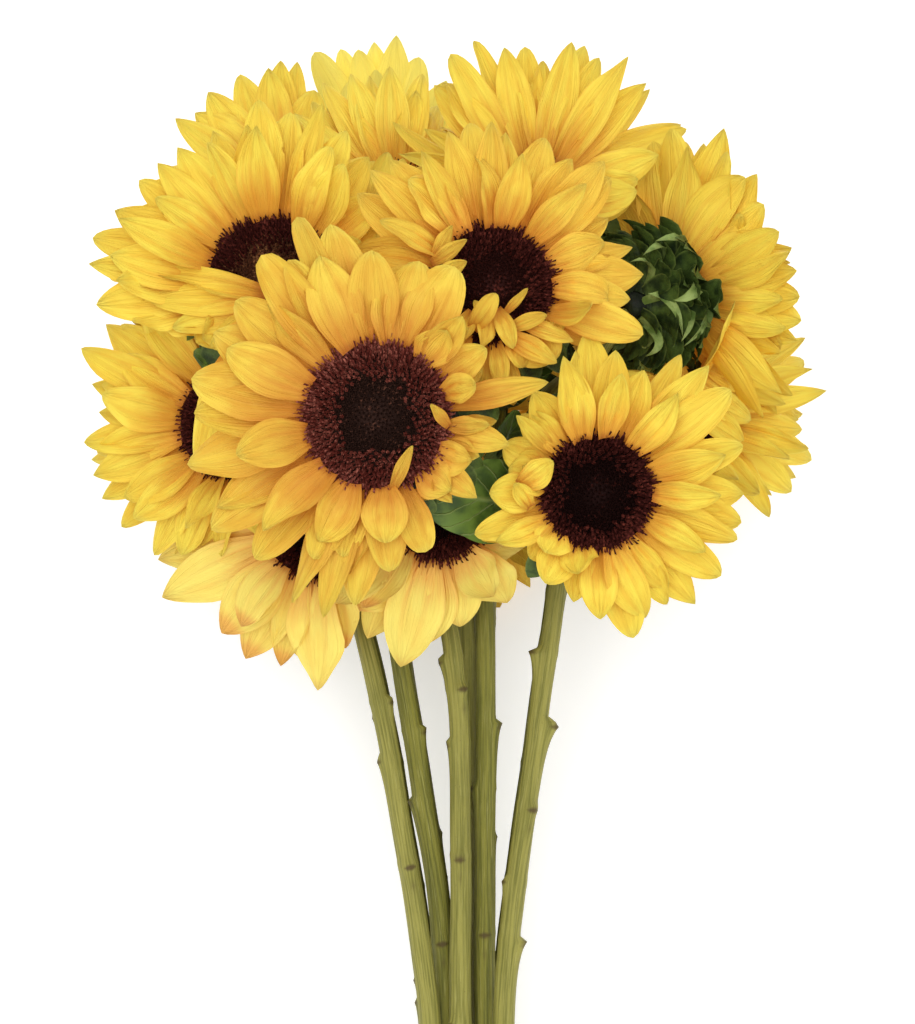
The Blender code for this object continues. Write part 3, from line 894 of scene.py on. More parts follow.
# %% Choose a way for a petal
def crowding(points, number, rear):
    """How badly each row of points runs into what is there already, in millimetres summed."""
    cell = cells_of(points, GRID_LOW, CELL, GRID_SHAPE)
    bump = np.where(owner[cell] == number, 0.0, np.maximum(depth_inside[cell], 0))
    spot = cells_of(points[..., :2], MAP_LOW, MAP_CELL, MAP_SHAPE)
    above = np.maximum(points[..., 2] - (front_under[spot] - PETAL_GAP), 0)
    below = np.maximum(rear_over[spot] + PETAL_GAP - points[..., 2], 0) if rear else 0.0
    ground = ground_at(points[..., 1])
    sunk = np.maximum(ground + TABLE_GAP - points[..., 2], 0)
    high = np.maximum(points[..., 2] - ground - TALLEST / COS, 0)
    total = (HEAD_WEIGHT * bump + np.minimum(above, WORST_OVERLAP)
             + np.minimum(below, WORST_OVERLAP) + TABLE_WEIGHT * (sunk + high))
    return CROWD_WEIGHT * total.mean(axis=tuple(range(1, total.ndim)))


def laid_petal(number, start, out, across, front, length, half, wish, rear, cost):
    """The petal's middle line and its axes, grown the least crowded way."""
    lift, curl, sway = wish
    line = blade_line(start, out, across, front, length * TRIES[:, 3], lift + TRIES[:, 0],
                      curl + TRIES[:, 1], sway + TRIES[:, 2], PETAL_ROWS)
    middle, way, over = line
    side = np.cross(over, way) * (half * 0.7)[None, :, None]
    probes = np.stack([middle, middle + side, middle - side], 2)[:, 2:]
    best = int(np.argmin(crowding(probes, number, rear) + cost @ STRAYED))
    return middle[best], way[best], over[best], TRIES[best]


# %% [markdown]
# ## The petals of one bloom
# A head wears its petals in three rows: a short inner row that stands up and cups, a long middle
# row, and a rear row that fills the gaps from behind. One rule with a seed strews them, because
# real petals vary in length, width, roll and twist. Heads that are pressed against a neighbour,
# nod, or have only just opened differ, and have their own rows in these tables.

# %% Rows of petals
ROW_SHARE = (0.30, 0.35, 0.35)
ROW_START = ((0.92, 3.0), (0.95, 0.8), (0.97, -1.5))  # share of disc radius, height
ROW_LIFT = ((30, 10), (12, 9), (1, 8))  # degrees and their spread
ROW_CURL = ((-24, 24), (-10, 18), (-2, 18))
ROW_LENGTH = (0.80, 1.0, 1.0)
ROW_SHIFT = 0.33  # share of the gap between petals by which each row is turned on
INNER_ROW = {  # bloom: lift, curl and length of its inner row, where it isn't as above
    8: ((8, 8), (-8, 10), 0.9), 9: ((10, 8), (-8, 10), 0.9), 10: ((8, 8), (-8, 10), 0.86),
    12: ((48, 9), (24, 12), 0.72),
}
EYE = {8: 17, 9: 16, 10: 18, 11: 18, 12: 13}  # radius of the eye of heads that open only now
PRESSED = {  # bloom: (direction in degrees, spread, share of length left)
    1: ((4, 36, 0.38),),
    3: ((190, 35, 0.72), (262, 42, 0.56)),
    4: ((180, 30, 0.72),),
    5: ((-55, 40, 0.62),),
    7: ((90, 70, 0.5),),
    10: ((190, 45, 0.6), (265, 50, 0.75)),
}
NODDING = {11: (0, 75, 42)}  # petals round this direction nod this much towards the bloom's face
print("petals of bloom 1 by row:", [round(share * BLOOMS[1][4]) for share in ROW_SHARE])

# %% [markdown]
# ## Tips that have their place
# The outline of a bunch is what the eye knows it by, so petals on the outline don't leave their
# tips to chance. The first table gives those tips as (u, v) seen from above. The second gives
# loose petals, which lie over a disc or close a gap between two heads.

# %% Set tips and loose petals
TIPS = {  # bloom: tips as (u, v), some with their petal's width, point and lift
    1: ((-81, 318, 22, 0.35, 22), (-70, 316, 16, 0.5, 20), (-66, 330, 12, 0.35, 26),
        (-63, 322, 19, 0.6, 18), (-53, 331, 24, 0.7, 14), (-36, 320, 22, 0.6, 24),
        (-18, 314, 21, 0.5, 24), (-4, 312, 24, 0.5, 24), (1, 293, 18, 0.6, 28),
        (11, 280, 16, 0.7, 22),
        (36, 266, 14, 0.7, 14), (20, 241, 13, 0.8, 14), (8, 236, 11, 1.0, 14),
        (7, 219, 12, 1.0, 8), (-3, 217, 10, 1.1, 6), (-14, 197, 15, 0.4, 6),
        (-29, 189, 17, 0.5, 8), (-43, 175, 18, 0.7, 4), (-56, 170, 16, 0.8, 2),
        (-69, 176, 15, 0.8, 0), (-60, 194, 18, 0.6, 8), (-48, 195, 16, 0.6, 10),
        (-84, 194, 20, 0.6, 4), (-102, 206, 24, 0.6, 8), (-112, 233, 26, 0.7, 12),
        (-109, 254, 26, 0.6, 14), (-110, 268, 26, 0.6, 16), (-101, 287, 26, 0.7, 16),
        (-92, 300, 22, 0.6, 18)),
    2: ((-155, 317), (-155, 329), (-145, 340), (-135, 353), (-127, 360), (-119, 367),
        (-104, 374), (-84, 386), (-71, 381), (-57, 384), (-47, 372), (-38, 362), (-32, 345),
        (-41, 326), (-143, 310), (-152, 300), (-137, 293), (-124, 291), (-110, 284)),
    3: ((-5, 371), (-16, 362), (-29, 359), (-37, 354), (4, 376), (13, 375), (19, 371),
        (36, 370), (47, 361), (60, 359), (63, 353), (62, 336), (77, 313), (71, 302),
        (76, 287), (38, 275), (42, 287)),
    4: ((53, 288), (64, 280), (42, 277), (76, 272), (92, 279), (103, 274), (112, 264),
        (117, 241), (118, 221), (117, 209), (115, 202), (108, 187), (98, 175), (86, 175),
        (72, 161), (58, 169), (47, 176), (35, 184), (29, 194), (12, 221), (6, 204),
        (23, 253, 8, 0.8, 30), (30, 263), (18, 241), (20, 231)),
    5: ((-152, 294), (-161, 283), (-157, 268), (-154, 256), (-160, 243), (-159, 236),
        (-156, 229), (-153, 219), (-144, 207), (-130, 195), (-118, 195)),
    6: ((-129, 193, 20, 0.8, 2), (-127, 177, 25, 0.9, 4), (-101, 162, 25, 0.8, 8),
        (-91, 151, 24, 0.9, 0), (-76, 148, 20, 0.9, -6), (-60, 138, 28, 0.85, 6),
        (-48, 156, 24, 0.8, 2)),
    7: ((-39, 160, 22, 0.8, -4), (-25, 148, 27, 0.85, 4), (-13, 158, 24, 0.85, -2),
        (0, 165, 27, 0.85, 8), (20, 175, 26, 0.85, 4), (28, 198, 24, 0.8, 8),
        (17, 185, 22, 0.9, -4)),
    8: ((-124, 385), (-110, 397), (-96, 405), (-83, 406), (-78, 410), (-71, 410), (-63, 396)),
    9: ((-59, 398), (-47, 402), (-39, 402), (-30, 404), (-16, 402), (-8, 401),
        (-55, 389), (-44, 392), (-35, 393), (-23, 393), (-12, 391), (-2, 390)),
    10: ((-11, 396, 18, 0.8, 8), (-4, 409), (6, 417), (19, 413), (28, 414), (36, 408), (48, 415),
         (54, 415), (60, 409), (72, 408), (83, 398), (97, 383), (85, 366), (76, 355)),
    11: ((58, 346, 20, 0.7, 8), (66, 360, 22, 0.7, 8), (73, 373, 22, 0.8, 8),
         (83, 378, 22, 0.8, 8), (92, 374, 22, 0.8, 8), (99, 379, 20, 0.9, 8),
         (108, 366, 22, 0.8, 8), (116, 357, 20, 0.8, 8), (121, 350), (129, 344), (134, 331),
         (138, 322), (142, 315), (143, 304), (144, 294)),
    12: ((151, 280), (159, 266), (153, 257), (148, 249), (154, 236), (143, 222), (132, 211)),
    15: ((-64, 416), (-53, 419), (-45, 418), (-38, 422), (-28, 424), (-18, 415)),
}
FIRM = (6,)  # blooms whose set petals push their way through
LOOSE = {  # bloom: loose petals over its disc or in gaps beside it: root, tip, width, lift, curl
    1: (((-27, 222), (-18, 240), 6, 35, -50), ((-4, 248), (-11, 257), 6, 35, -40)),
    2: (((-81, 303), (-126, 311), 15, 8, -8), ((-80, 300), (-128, 300), 16, 8, -8),
        ((-80, 297), (-118, 288), 16, 8, -6), ((-78, 294), (-102, 280), 15, 8, -6)),
    3: (((4, 288), (12, 301), 10, 60, -85), ((17, 294), (26, 304), 4.5, 35, -40),
        ((19, 288), (34, 293), 7, 35, -50), ((25, 290), (45, 282), 9, 20, -20),
        ((17, 286), (38, 273), 10, 14, -10), ((10, 293), (7, 279), 9, 25, -40),
        ((4, 295), (-3, 282), 9, 20, -30), ((14, 296), (20, 279), 9, 30, -50),
        ((10, 289), (4, 299), 6, 40, -60), ((-13, 315), (1, 324), 7, 20, -14),
        ((-12, 317), (-5, 330), 7, 20, -14), ((-13, 308), (1, 315), 8, 20, -14)),
    4: (((24, 225), (37, 235), 13, 35, -60), ((28, 216), (21, 226), 9, 30, -40)),
    9: (((-37, 334), (-31, 361), 15, 14, -10), ((-31, 332), (-25, 359), 15, 12, -10),
        ((-42, 338), (-37, 358), 14, 14, -10), ((-25, 334), (-19, 356), 14, 12, -10)),
    11: (((87, 318), (76, 371), 24, 8, -8), ((90, 320), (84, 376), 23, 6, -6),
         ((84, 316), (66, 358), 22, 8, -8)),
    12: (((98, 272), (110, 260), 12, 20, -10), ((98, 265), (117, 251), 14, 20, -10),
         ((97, 257), (114, 242), 13, 20, -10), ((100, 276), (117, 265), 13, 20, -10)),
}
print(sum(map(len, TIPS.values())), "set tips and", sum(map(len, LOOSE.values())), "loose petals")

# %% [markdown]
# ## From tables to petals
# A set tip is reached by solving for the direction and length of its petal: a trial petal is
# bent, its tip is compared with the wanted place, and the aim is moved by most of the error. The
# free petals follow the rule of their row, and stay a little shorter than a set tip beside them.

# %% Where petals go
TIP_ROOM, TIP_SWAY = 9, 24  # degrees: no free middle petal so near a set tip, and no longer one
STRETCH = 1.03  # a petal is this much longer than its straight reach, for its bends
AIM_TRIES, AIM_GAIN = 6, 0.8  # steps towards a set tip, and the share of the error taken in each


def turned_by(one, other):
    """Degrees from one direction to another, between -180 and 180."""
    return (one - other + 180) % 360 - 180


def rooted(number, angle, row):
    """Where a petal starts, the ways outward, along the rim and ahead, and its distance out."""
    centre, facing, disc = BLOOMS[number][:3]
    level, rise, front = bloom_axes(facing)
    angle = math.radians(angle)
    out = math.cos(angle) * level + math.sin(angle) * rise
    across = math.cos(angle) * rise - math.sin(angle) * level
    share, height = ROW_START[row]
    foot = share * EYE.get(number, disc)
    return np.array(centre) + foot * out + height * front, out, across, front, foot


def aimed_at(number, tip, lift, curl):
    """Direction and reach of a middle petal whose tip comes over the point (u, v)."""
    level, rise, front = bloom_axes(BLOOMS[number][1])
    plane = np.array([level[:2], rise[:2]]).T
    goal = np.array(tip, float)
    for _ in range(AIM_TRIES):
        a, b = np.linalg.solve(plane, goal - BLOOMS[number][0][:2])
        angle, far = math.degrees(math.atan2(b, a)), math.hypot(a, b)
        start, out, across, front, foot = rooted(number, angle, 1)
        bends = np.radians([[lift], [curl], [0.0]])
        length = np.array([STRETCH * (far - foot)])
        middle = blade_line(start, out, across, front, length, *bends, PETAL_ROWS)[0]
        goal = goal + AIM_GAIN * (np.array(tip) - middle[0, -1, :2])
    return angle, far


def set_petals(number, rng):
    """Petals whose tips have their place: direction, reach, width, point, lift and curl."""
    width = BLOOMS[number][5]
    for u, v, *style in TIPS.get(number, ()):
        wide, point, lift = style or (width * rng.uniform(0.85, 1.2), rng.uniform(0.55, 0.95),
                                      rng.normal(*ROW_LIFT[1]))
        curl = rng.normal(-6, 8)
        angle, far = aimed_at(number, (u, v), lift, curl)
        yield angle, far, wide, point, lift, curl


def wishes(number, rng):
    """A bloom's petals: direction, row, reach, width, point, lift, curl, and cost of straying."""
    disc, reach, count, width = BLOOMS[number][2:6]
    placed = list(set_petals(number, rng))
    for row, share in enumerate(ROW_SHARE):
        many = round(count * share)
        for k in range(many):
            angle = 360 * (k + ROW_SHIFT * row + rng.uniform(-0.35, 0.35)) / many
            lift, curl, length = ROW_LIFT[row], ROW_CURL[row], ROW_LENGTH[row]
            if row == 0 and number in INNER_ROW:
                lift, curl, length = INNER_ROW[number]
            kept = 1.0
            for direction, spread, least in PRESSED.get(number, ()):
                kept *= 1 - (1 - least) * math.exp(-(turned_by(angle, direction) / spread) ** 2)
            far = disc + (reach - disc) * length * rng.uniform(0.86, 1.06) * kept
            wide = width * rng.uniform(0.75, 1.2) * (0.1 + 0.9 * kept)
            lift = rng.normal(*lift)
            if number in NODDING:
                direction, spread, nod = NODDING[number]
                lift += nod * math.exp(-(turned_by(angle, direction) / spread) ** 4)
            gaps = [(abs(turned_by(angle, p[0])), p[1]) for p in placed]
            near = min(gaps, default=(360, 0))
            if near[0] < TIP_SWAY:
                far = min(far, near[1] * rng.uniform(0.84, 0.97))
            point, curl = rng.uniform(0.6, 1.0), rng.normal(*curl)
            if row != 1 or near[0] > TIP_ROOM:
                yield angle, row, far, wide, point, lift, curl, FREE_COST
    for angle, far, wide, point, lift, curl in placed:
        yield angle, 1, far, wide, point, lift, curl, FIRM_COST if number in FIRM else SET_COST


# %% [markdown]
# ## Grow the petals
# Every petal gets folds, waves and a twist of its own, drawn from the bloom's own seed, so a
# bloom comes out the same each time whatever is changed in another. When a bloom is done, its
# petals and its head are entered in the height maps for the blooms after it.

# %% Grow petals
PETAL_FOOT = 0.48  # width at the root as a share of the greatest
FULLER = 1.12  # makes up for the width that cupping takes
ROLLED = 0.2  # share of petals whose tips roll in
BENT_FAR = 0.5  # radians: more than this is far from a petal's own wish
ABOVE_TABLE = 0.4
HEAD_SHARES, HEAD_DROPS = (0.1, 0.66, 1.05), (-29, -19, -6)  # underside of a front head
REAR_TOP = 9.0  # height of a rear head's upper side
LOOSE_HEIGHT, LOOSE_POINT = 6.0, 0.7


def grown_blade(middle, way, over, wide, point, rng, calm=1.0):
    """The shell of one petal on its middle line, with its own folds, waves and twist."""
    rolled = rng.uniform() < ROLLED
    half = wide / 2 * FULLER * outline(spots(PETAL_ROWS), PETAL_FOOT, point)
    return blade_shell(
        middle, way, over, half,
        cup=(rng.uniform(0.5, 1.1), rng.uniform(0.6, 1.4) if rolled else rng.uniform(-0.4, 0.5)),
        roll=(calm * rng.normal(0.16, 0.14), calm * rng.normal(0.10, 0.5)),
        crease=min(1.0, wide / 14) * rng.uniform(0.45, 1.15),
        wave=wide / 16 * rng.uniform(0.6, 2.6),
        phase=rng.uniform(0, 6.28), thick=0.5, cells=PETAL_CELLS)


def loose_petal(number, root, tip, wide, lift, curl, rng):
    """The shell of a loose petal from its root to its tip, both as (u, v) seen from above."""
    centre, facing = BLOOMS[number][:2]
    level, rise, front = bloom_axes(facing)
    plane = np.array([level[:2], rise[:2]]).T
    ends = [np.linalg.solve(plane, np.subtract(end, centre[:2])) for end in (root, tip)]
    foot, top = (a * level + b * rise for a, b in ends)
    out = unit(top - foot)
    bends = np.radians([[lift], [curl], [0.0]])
    rises = bends[0] + bends[1] * np.linspace(0, 1, 20) ** 1.5
    length = np.linalg.norm(top - foot) / np.cos(rises).mean(keepdims=True)
    start = np.array(centre) + foot + LOOSE_HEIGHT * front
    line = blade_line(start, out, np.cross(front, out), front, length, *bends, PETAL_ROWS)
    return grown_blade(*(part[0] for part in line), wide, LOOSE_POINT, rng)


def petals_of(number):
    """Shells and marks of a bloom's petals."""
    centre, facing, disc = BLOOMS[number][:3]
    rear = number in REAR_ORDER
    rng = np.random.default_rng(10 + number)
    shells, marks, strays = [], [], 0
    for angle, row, far, wide, point, lift, curl, cost in wishes(number, rng):
        start, out, across, front, foot = rooted(number, angle, row)
        free = cost is FREE_COST
        start = start + rng.uniform(-1, 1) * free * front
        wish = [math.radians(lift), math.radians(curl), math.radians(rng.normal(0, 13)) * free]
        half = wide / 2 * outline(spots(PETAL_ROWS), PETAL_FOOT, point)
        middle, way, over, tried = laid_petal(
            number, start, out, across, front, STRETCH * (far - foot), half, wish, rear, cost)
        strays += bool(np.abs(tried[:3]).max() > BENT_FAR)
        shell = grown_blade(middle, way, over, wide, point, rng, 1.0 if free else 0.5)
        shell[:, 2] = np.maximum(shell[:, 2], ground_at(shell[:, 1]) + ABOVE_TABLE)
        shells.append(shell)
        marks.append(rng.uniform(0, 1))
    for loose in LOOSE.get(number, ()):
        shells.append(loose_petal(number, *loose, rng))
        marks.append(rng.uniform(0, 1))
    cover(np.concatenate(shells), rear)
    level, rise, front = bloom_axes(facing)
    girth = np.linspace(0, 2 * math.pi, 40)[:, None]
    for size in np.linspace(HEAD_SHARES[0], HEAD_SHARES[-1], 12):
        height = REAR_TOP if rear else np.interp(size, HEAD_SHARES, HEAD_DROPS)
        rim = disc * size * (np.cos(girth) * level + np.sin(girth) * rise)
        cover(np.array(centre) + rim + height * front, rear)
    return shells, marks, strays


# %% [markdown]
# ## Finish of the petals
# A ray petal is clear yellow, deep orange where it leaves the disc, and streaked along its
# length by fine veins that show both as colour and as relief. The deep orange of the foot is
# partly the petal's own colour and partly painted shade of its cupped base, and the grooves of
# the basal half get the same orange as painted shade. The pattern follows the petal, so
# the finish reads each point's place on its own petal from the blade attribute. Petals vary
# from lemon to amber, so there is one finish for each kind and a small shift for each petal.
# Light also shines through petals and warms the shade between them. A faint orange glow of
# their own stands in for it, a painted glow, since petals are no lamps. Bloom 15's petals lie in
# the shade of the blooms above them, so theirs is a stronger yellow painted glow that lifts it.

# %% Petal finishes
# colours of the painted glow: orange warms the shade between petals, yellow lifts bloom 15's shade
SHADE_GLOW, TIP_GLOW = (1.0, 0.32, 0.02, 1.0), (1.0, 0.82, 0.15, 1.0)


def petal_finish(name, clear, warm, deep, tip, foot_colour_and_shade_reach=0.56, aged=0.0, glow_colour=SHADE_GLOW,
                 glow=0.09):
    """Blade, warmer, foot and tip colours; how far the foot's orange and painted shade reach;
    painted glow.
    """
    f = Finish(name, Roughness=0.55, Specular_IOR_Level=0.25, Emission_Color=glow_colour,
               Emission_Strength=glow)
    across, along, petal = f.parts(f.attribute("blade", "Vector"))
    drawn = f.noise(f.vector(across * 2.6, along * 0.9, petal * 71.0), 1.6, 4.0, 0.6)
    veins = f.noise(f.vector(across * 13.0, along * 0.8, petal * 37.0), 1.5, 2.0)
    mottle = f.noise(f.vector(across * 1.2, along * 2.2, petal * 53.0), 1.4, 2.0)
    groove_shade_wave = across.math("COSINE", across * (3 * math.pi))
    skin = f.blend(mottle.between(0.38, 0.66) * 0.7, clear, warm)
    skin = f.blend(petal.between(0.5, 1.0) * 0.45, skin, warm)
    skin = f.blend(veins.between(0.5, 0.75) * 0.2, skin, warm)
    # the deep orange foot is partly the petal's own colour, partly painted shade of its cupped
    # base
    reach = along + 0.5 * (drawn - 0.5) + 0.22 * (petal - 0.5)
    foot = 1.0 - reach.between(0.03, foot_colour_and_shade_reach)
    # painted shade: the grooves in the basal half of each petal darken to its deep orange
    skin = f.blend((-0.2 - groove_shade_wave).between(0.0, 1.0) * (1.0 - along) * 0.5, skin, deep)
    skin = f.blend(foot * 0.85, skin, deep)
    heart = 1.0 - (along + 0.16 * (veins - 0.5)).between(0.0, 0.13)
    skin = f.blend(heart * 0.7, skin, colour(158, 78, 28))
    skin = f.blend((along + 0.2 * drawn).between(0.95, 1.1) * 0.5, skin, tip)
    if aged:
        browned = (along + 0.1 * drawn).between(0.8, 0.95) * petal.between(0.6, 0.66)
        skin = f.blend(browned * aged, skin, deep)
    f.wear(Base_Color=skin, Roughness=0.48 + 0.2 * mottle)
    f.relief(veins + 0.7 * drawn, 0.0007)
    return f


PETAL_FINISHES = {
    "gold": petal_finish("petal_gold", colour(234, 214, 76), colour(226, 191, 61),
                         colour(210, 141, 42), colour(236, 222, 94), foot_colour_and_shade_reach=0.62),
    "amber": petal_finish("petal_amber", colour(231, 203, 72), colour(221, 176, 58),
                          colour(205, 129, 40), colour(233, 213, 90), foot_colour_and_shade_reach=0.62),
    "rich": petal_finish("petal_rich", colour(223, 196, 69), colour(211, 165, 53),
                         colour(192, 121, 39), colour(229, 212, 89), foot_colour_and_shade_reach=0.88),
    "lemon": petal_finish("petal_lemon", colour(238, 221, 84), colour(234, 202, 69),
                          colour(220, 163, 49), colour(239, 228, 112)),
    # bloom 15: paler petals with a stronger yellow painted glow that lifts the shade they lie in
    "fresh": petal_finish("petal_fresh", colour(218, 203, 92), colour(216, 196, 80),
                          colour(206, 170, 62), colour(220, 208, 108),
                          glow_colour=TIP_GLOW, glow=0.36),
    "pale": petal_finish("petal_pale", colour(232, 218, 106), colour(230, 206, 96),
                         colour(222, 166, 80), colour(228, 186, 90), foot_colour_and_shade_reach=0.5, aged=0.9),
}
print("petal finishes:", ", ".join(PETAL_FINISHES))

# %% [markdown]
# ## Lay all petals
# Blooms are dressed from the front to the back, so that each one's petals slip under those of
# the blooms before it, and then the rear four from the back to the front. The front leaves are
# entered in the map when the first blooms are done, since the rest lie under them.

# %% Lay all petals
UNDER_THE_LEAVES = 7  # the first bloom whose petals pass under the front leaves
for n in FRONT_ORDER + REAR_ORDER:
    if n == UNDER_THE_LEAVES:
        for shell in front_leaves:
            cover(shell, False)
        front_under[bare_back] = np.minimum(front_under[bare_back], BARE_BACK[2])
    shells, marks, strays = petals_of(n)
    piece = blades_piece(f"petals_{n:02d}", shells, marks, PETAL_ROWS, PETAL_CELLS,
                         [PETAL_FINISHES[BLOOMS[n][6]]])
    settled(piece, f"bloom_{n:02d}")
    print(f"bloom {n}: {len(shells)} petals, {strays} bent well away from their wish")

# %% [markdown]
# ## The disc: hundreds of florets on a spiral
# A sunflower's dark eye is a flower head: several hundred tiny florets, each set one golden
# angle on from the last, which packs them evenly. The outer ones are open, with a five-toothed
# maroon cup and a forked style that makes the rim look furry; the inner ones are still closed,
# darker buds. This cell makes the two florets that the disc repeats, with few faces each.

# %% The two florets
TEETH = 5


def floret_mesh(name, radii, tooth, style):
    """A toothed cup; radii holds (radius, height) pairs, tooth the teeth's, style its height."""
    turn = 2 * math.pi * np.arange(TEETH) / TEETH
    ring = np.stack([np.cos(turn), np.sin(turn), 0 * turn], -1)
    half = 2 * math.pi * (np.arange(TEETH) + 0.5) / TEETH
    tips = np.stack([np.cos(half), np.sin(half), 0 * half], -1) * tooth[0] + (0, 0, tooth[1])
    points = [ring * radius + (0, 0, height) for radius, height in radii] + [tips]
    low, high, top = np.arange(TEETH), np.arange(TEETH) + TEETH, np.arange(TEETH) + 2 * TEETH
    middle = 3 * TEETH
    faces = [np.stack([low, np.roll(low, -1), np.roll(high, -1), high], -1),
             np.stack([high, np.roll(high, -1), top], -1),
             np.stack([top, np.roll(high, -1), np.full(TEETH, middle)], -1),
             np.stack([high, top, np.full(TEETH, middle)], -1),
             low[None, ::-1]]
    points.append(np.array([[0, 0, radii[1][1] - 0.5]]))
    if style:
        third = 2 * math.pi * np.arange(3) / 3
        foot = np.stack([0.2 * np.cos(third), 0.2 * np.sin(third), 0 * third], -1)
        foot = foot + (0, 0, radii[1][1] - 0.6)
        fork = [(0.6, 0.25, style), (0.4, -0.5, style - 0.5)]
        points += [foot, np.array(fork)]
        a, b, c, one, two = middle + np.arange(1, 6)
        faces.append(np.array([(a, b, one), (b, c, two), (c, a, one),
                               (b, two, one), (c, one, two), (a, c, b)]))
    return linked(name, meshed(name, np.concatenate(points) * MM, faces))


open_floret = floret_mesh("open_floret", ((0.42, -1.5), (0.62, 1.5)), (1.0, 2.6), 4.6)
closed_floret = floret_mesh("closed_floret", ((0.75, -1.5), (1.0, 0.8)), (0.3, 1.6), 0)
for template in (open_floret, closed_floret):
    print(template.name, len(template.data.polygons), "faces")

# %% [markdown]
# ## Repeat the florets by Geometry Nodes
# Florets could be copied in a Python loop, but Geometry Nodes suit a thing that repeats by a
# rule, and the rule can then be tuned by its inputs. A Builder is such a tree. It sets a point
# for each number, puts copies of a template on points, and at its end joins the parts, makes the
# copies real and gives each its finish by a mark that its point was given.

# %% A builder of geometry trees
class Builder(Tree):
    """A geometry tree with named inputs for a modifier."""

    def __init__(self, name, numbers):
        super().__init__(bpy.data.node_groups.new(name, "GeometryNodeTree"))
        plan = [("Geometry", "OUTPUT", "Geometry"), ("Geometry", "INPUT", "Geometry")]
        plan += [(label, "INPUT", kind) for label, kind in numbers.items()]
        for label, way, kind in plan:
            self.tree.interface.new_socket(label, in_out=way, socket_type="NodeSocket" + kind)
        self.given = self.add("NodeGroupInput")

    def numbered_points(self, count, place):
        """A point for each number below count, at the place worked out from its index."""
        sockets = {"Count": count, "Position": place, "Radius": 0.001}
        return self.add("GeometryNodePoints", sockets=sockets)

    def marked(self, points, name, number):
        """The points with a number under a name, which their copies keep."""
        settings = {"data_type": "FLOAT", "domain": "POINT"}
        sockets = {"Geometry": points, "Name": name, "Value": number}
        return self.add("GeometryNodeStoreNamedAttribute", settings, sockets)

    def mark(self, name):
        """The number that marked gave, and 0 where there is none."""
        return self.add("GeometryNodeInputNamedAttribute", {"data_type": "FLOAT"}, {"Name": name})

    def random(self, low, high, seed):
        sockets = {2: low, 3: high, 8: seed}
        return self.add("FunctionNodeRandomValue", {"data_type": "FLOAT"}, sockets, out=1)

    def copies(self, points, template, chosen, turn, scale):
        """The template on each chosen point, turned by the three angles of turn."""
        info = self.add("GeometryNodeObjectInfo", sockets={"Object": template}, out="Geometry")
        rotation = self.add("FunctionNodeEulerToRotation", sockets={0: self.vector(*turn)})
        sockets = {"Points": points, "Selection": chosen, "Instance": info, "Rotation": rotation,
                   "Scale": self.vector(scale, scale, scale)}
        return self.add("GeometryNodeInstanceOnPoints", sockets=sockets)

    def done(self, parts, finishes):
        """Joins parts, makes copies real and sets each finish where its choice says."""
        joined = self.add("GeometryNodeJoinGeometry")
        for part in reversed(parts):
            self.tree.links.new(part.socket, joined.socket.node.inputs[0])
        shape = self.add("GeometryNodeRealizeInstances", sockets={0: joined})
        for finish, chosen in finishes:
            sockets = {"Geometry": shape, "Material": finish.material}
            if chosen is not None:
                sockets["Selection"] = chosen
            shape = self.add("GeometryNodeSetMaterial", sockets=sockets)
        self.add("NodeGroupOutput", sockets={0: shape})
        return self.tree


# %% [markdown]
# ## The tree of the disc
# The tree takes the radius of the disc, its dome, the number of florets and where the open ones
# start. Florets stand on the spiral and lean outwards more and more towards the rim. A floret is
# ripe, so open, when it stands far enough out, give or take a little, and ripe florets get
# another finish than the rest.

# %% The tree of the disc
GOLDEN_ANGLE = math.pi * (3 - math.sqrt(5))
RIM_AT, RIM_LIFT = 0.94, 2.4  # the rim florets stand a little inside the petals and above them
HOLLOW = 1.2  # depth of the dimple in the middle


def disc_tree(outer, inner):
    """The tree that strews florets over a disc."""
    b = Builder("floret_spiral", {"Disc radius": "Float", "Dome": "Float", "Florets": "Int",
                                  "Open from": "Float", "Seed": "Int"})
    radius, dome, count, opened, seed = (b.given.sister(k) for k in range(1, 6))
    index = b.add("GeometryNodeInputIndex")
    share = ((index + 0.5) / count) ** 0.5
    angle = index * GOLDEN_ANGLE
    flat = RIM_AT * radius * share
    hollow = HOLLOW * MM * (1.0 - share.between(0.05, 0.5))
    height = dome * (1.0 - share * share) - hollow + RIM_LIFT * MM * share.between(0.7, 1.0)
    place = b.vector(flat * angle.math("COSINE", angle), flat * angle.math("SINE", angle), height)
    points = b.numbered_points(count, place)
    ripeness = share + b.random(-0.1, 0.1, seed + 2)
    points = b.marked(points, "ripe", ripeness)
    lean = share ** 3.0 * 0.95 + b.random(-0.16, 0.16, seed)
    turn = (b.random(-0.28, 0.28, seed + 1), lean, angle)
    out = share.math("GREATER_THAN", ripeness, opened)
    wide = 0.78 + 0.3 * share
    size = wide * b.random(0.85, 1.12, seed + 3)
    open_ones = b.copies(points, open_floret, out, turn, size)
    size = wide * b.random(0.85, 1.1, seed + 4)
    shut_ones = b.copies(points, closed_floret, 1.0 - out, turn, size)
    ripe = b.mark("ripe")
    return b.done([b.given, open_ones, shut_ones],
                  [(inner, None), (outer, ripe.math("GREATER_THAN", ripe, opened))])


# %% [markdown]
# ## Finishes of the florets
# Two plain kinds of colour are dealt out floret by floret: maroon for the open ring, and a dark
# brown for the closed heart, from nearly black to tan as the head ages. Some variation in each
# comes from noise as fine as the florets, which are slightly velvety, with no shine.

# %% Floret finishes
def floret_finish(name, dark, light, low, high):
    f = Finish(name, Roughness=0.75, Specular_IOR_Level=0.08)
    place = f.add("ShaderNodeTexCoord", out="Object")
    speckle = f.noise(place, 620.0, 2.0)
    cloud = f.noise(place, 90.0, 2.0)
    f.wear(Base_Color=f.blend((0.7 * speckle + 0.3 * cloud).between(low, high), dark, light),
           Roughness=0.6 + 0.3 * speckle)
    f.relief(speckle, 0.0003)
    return f


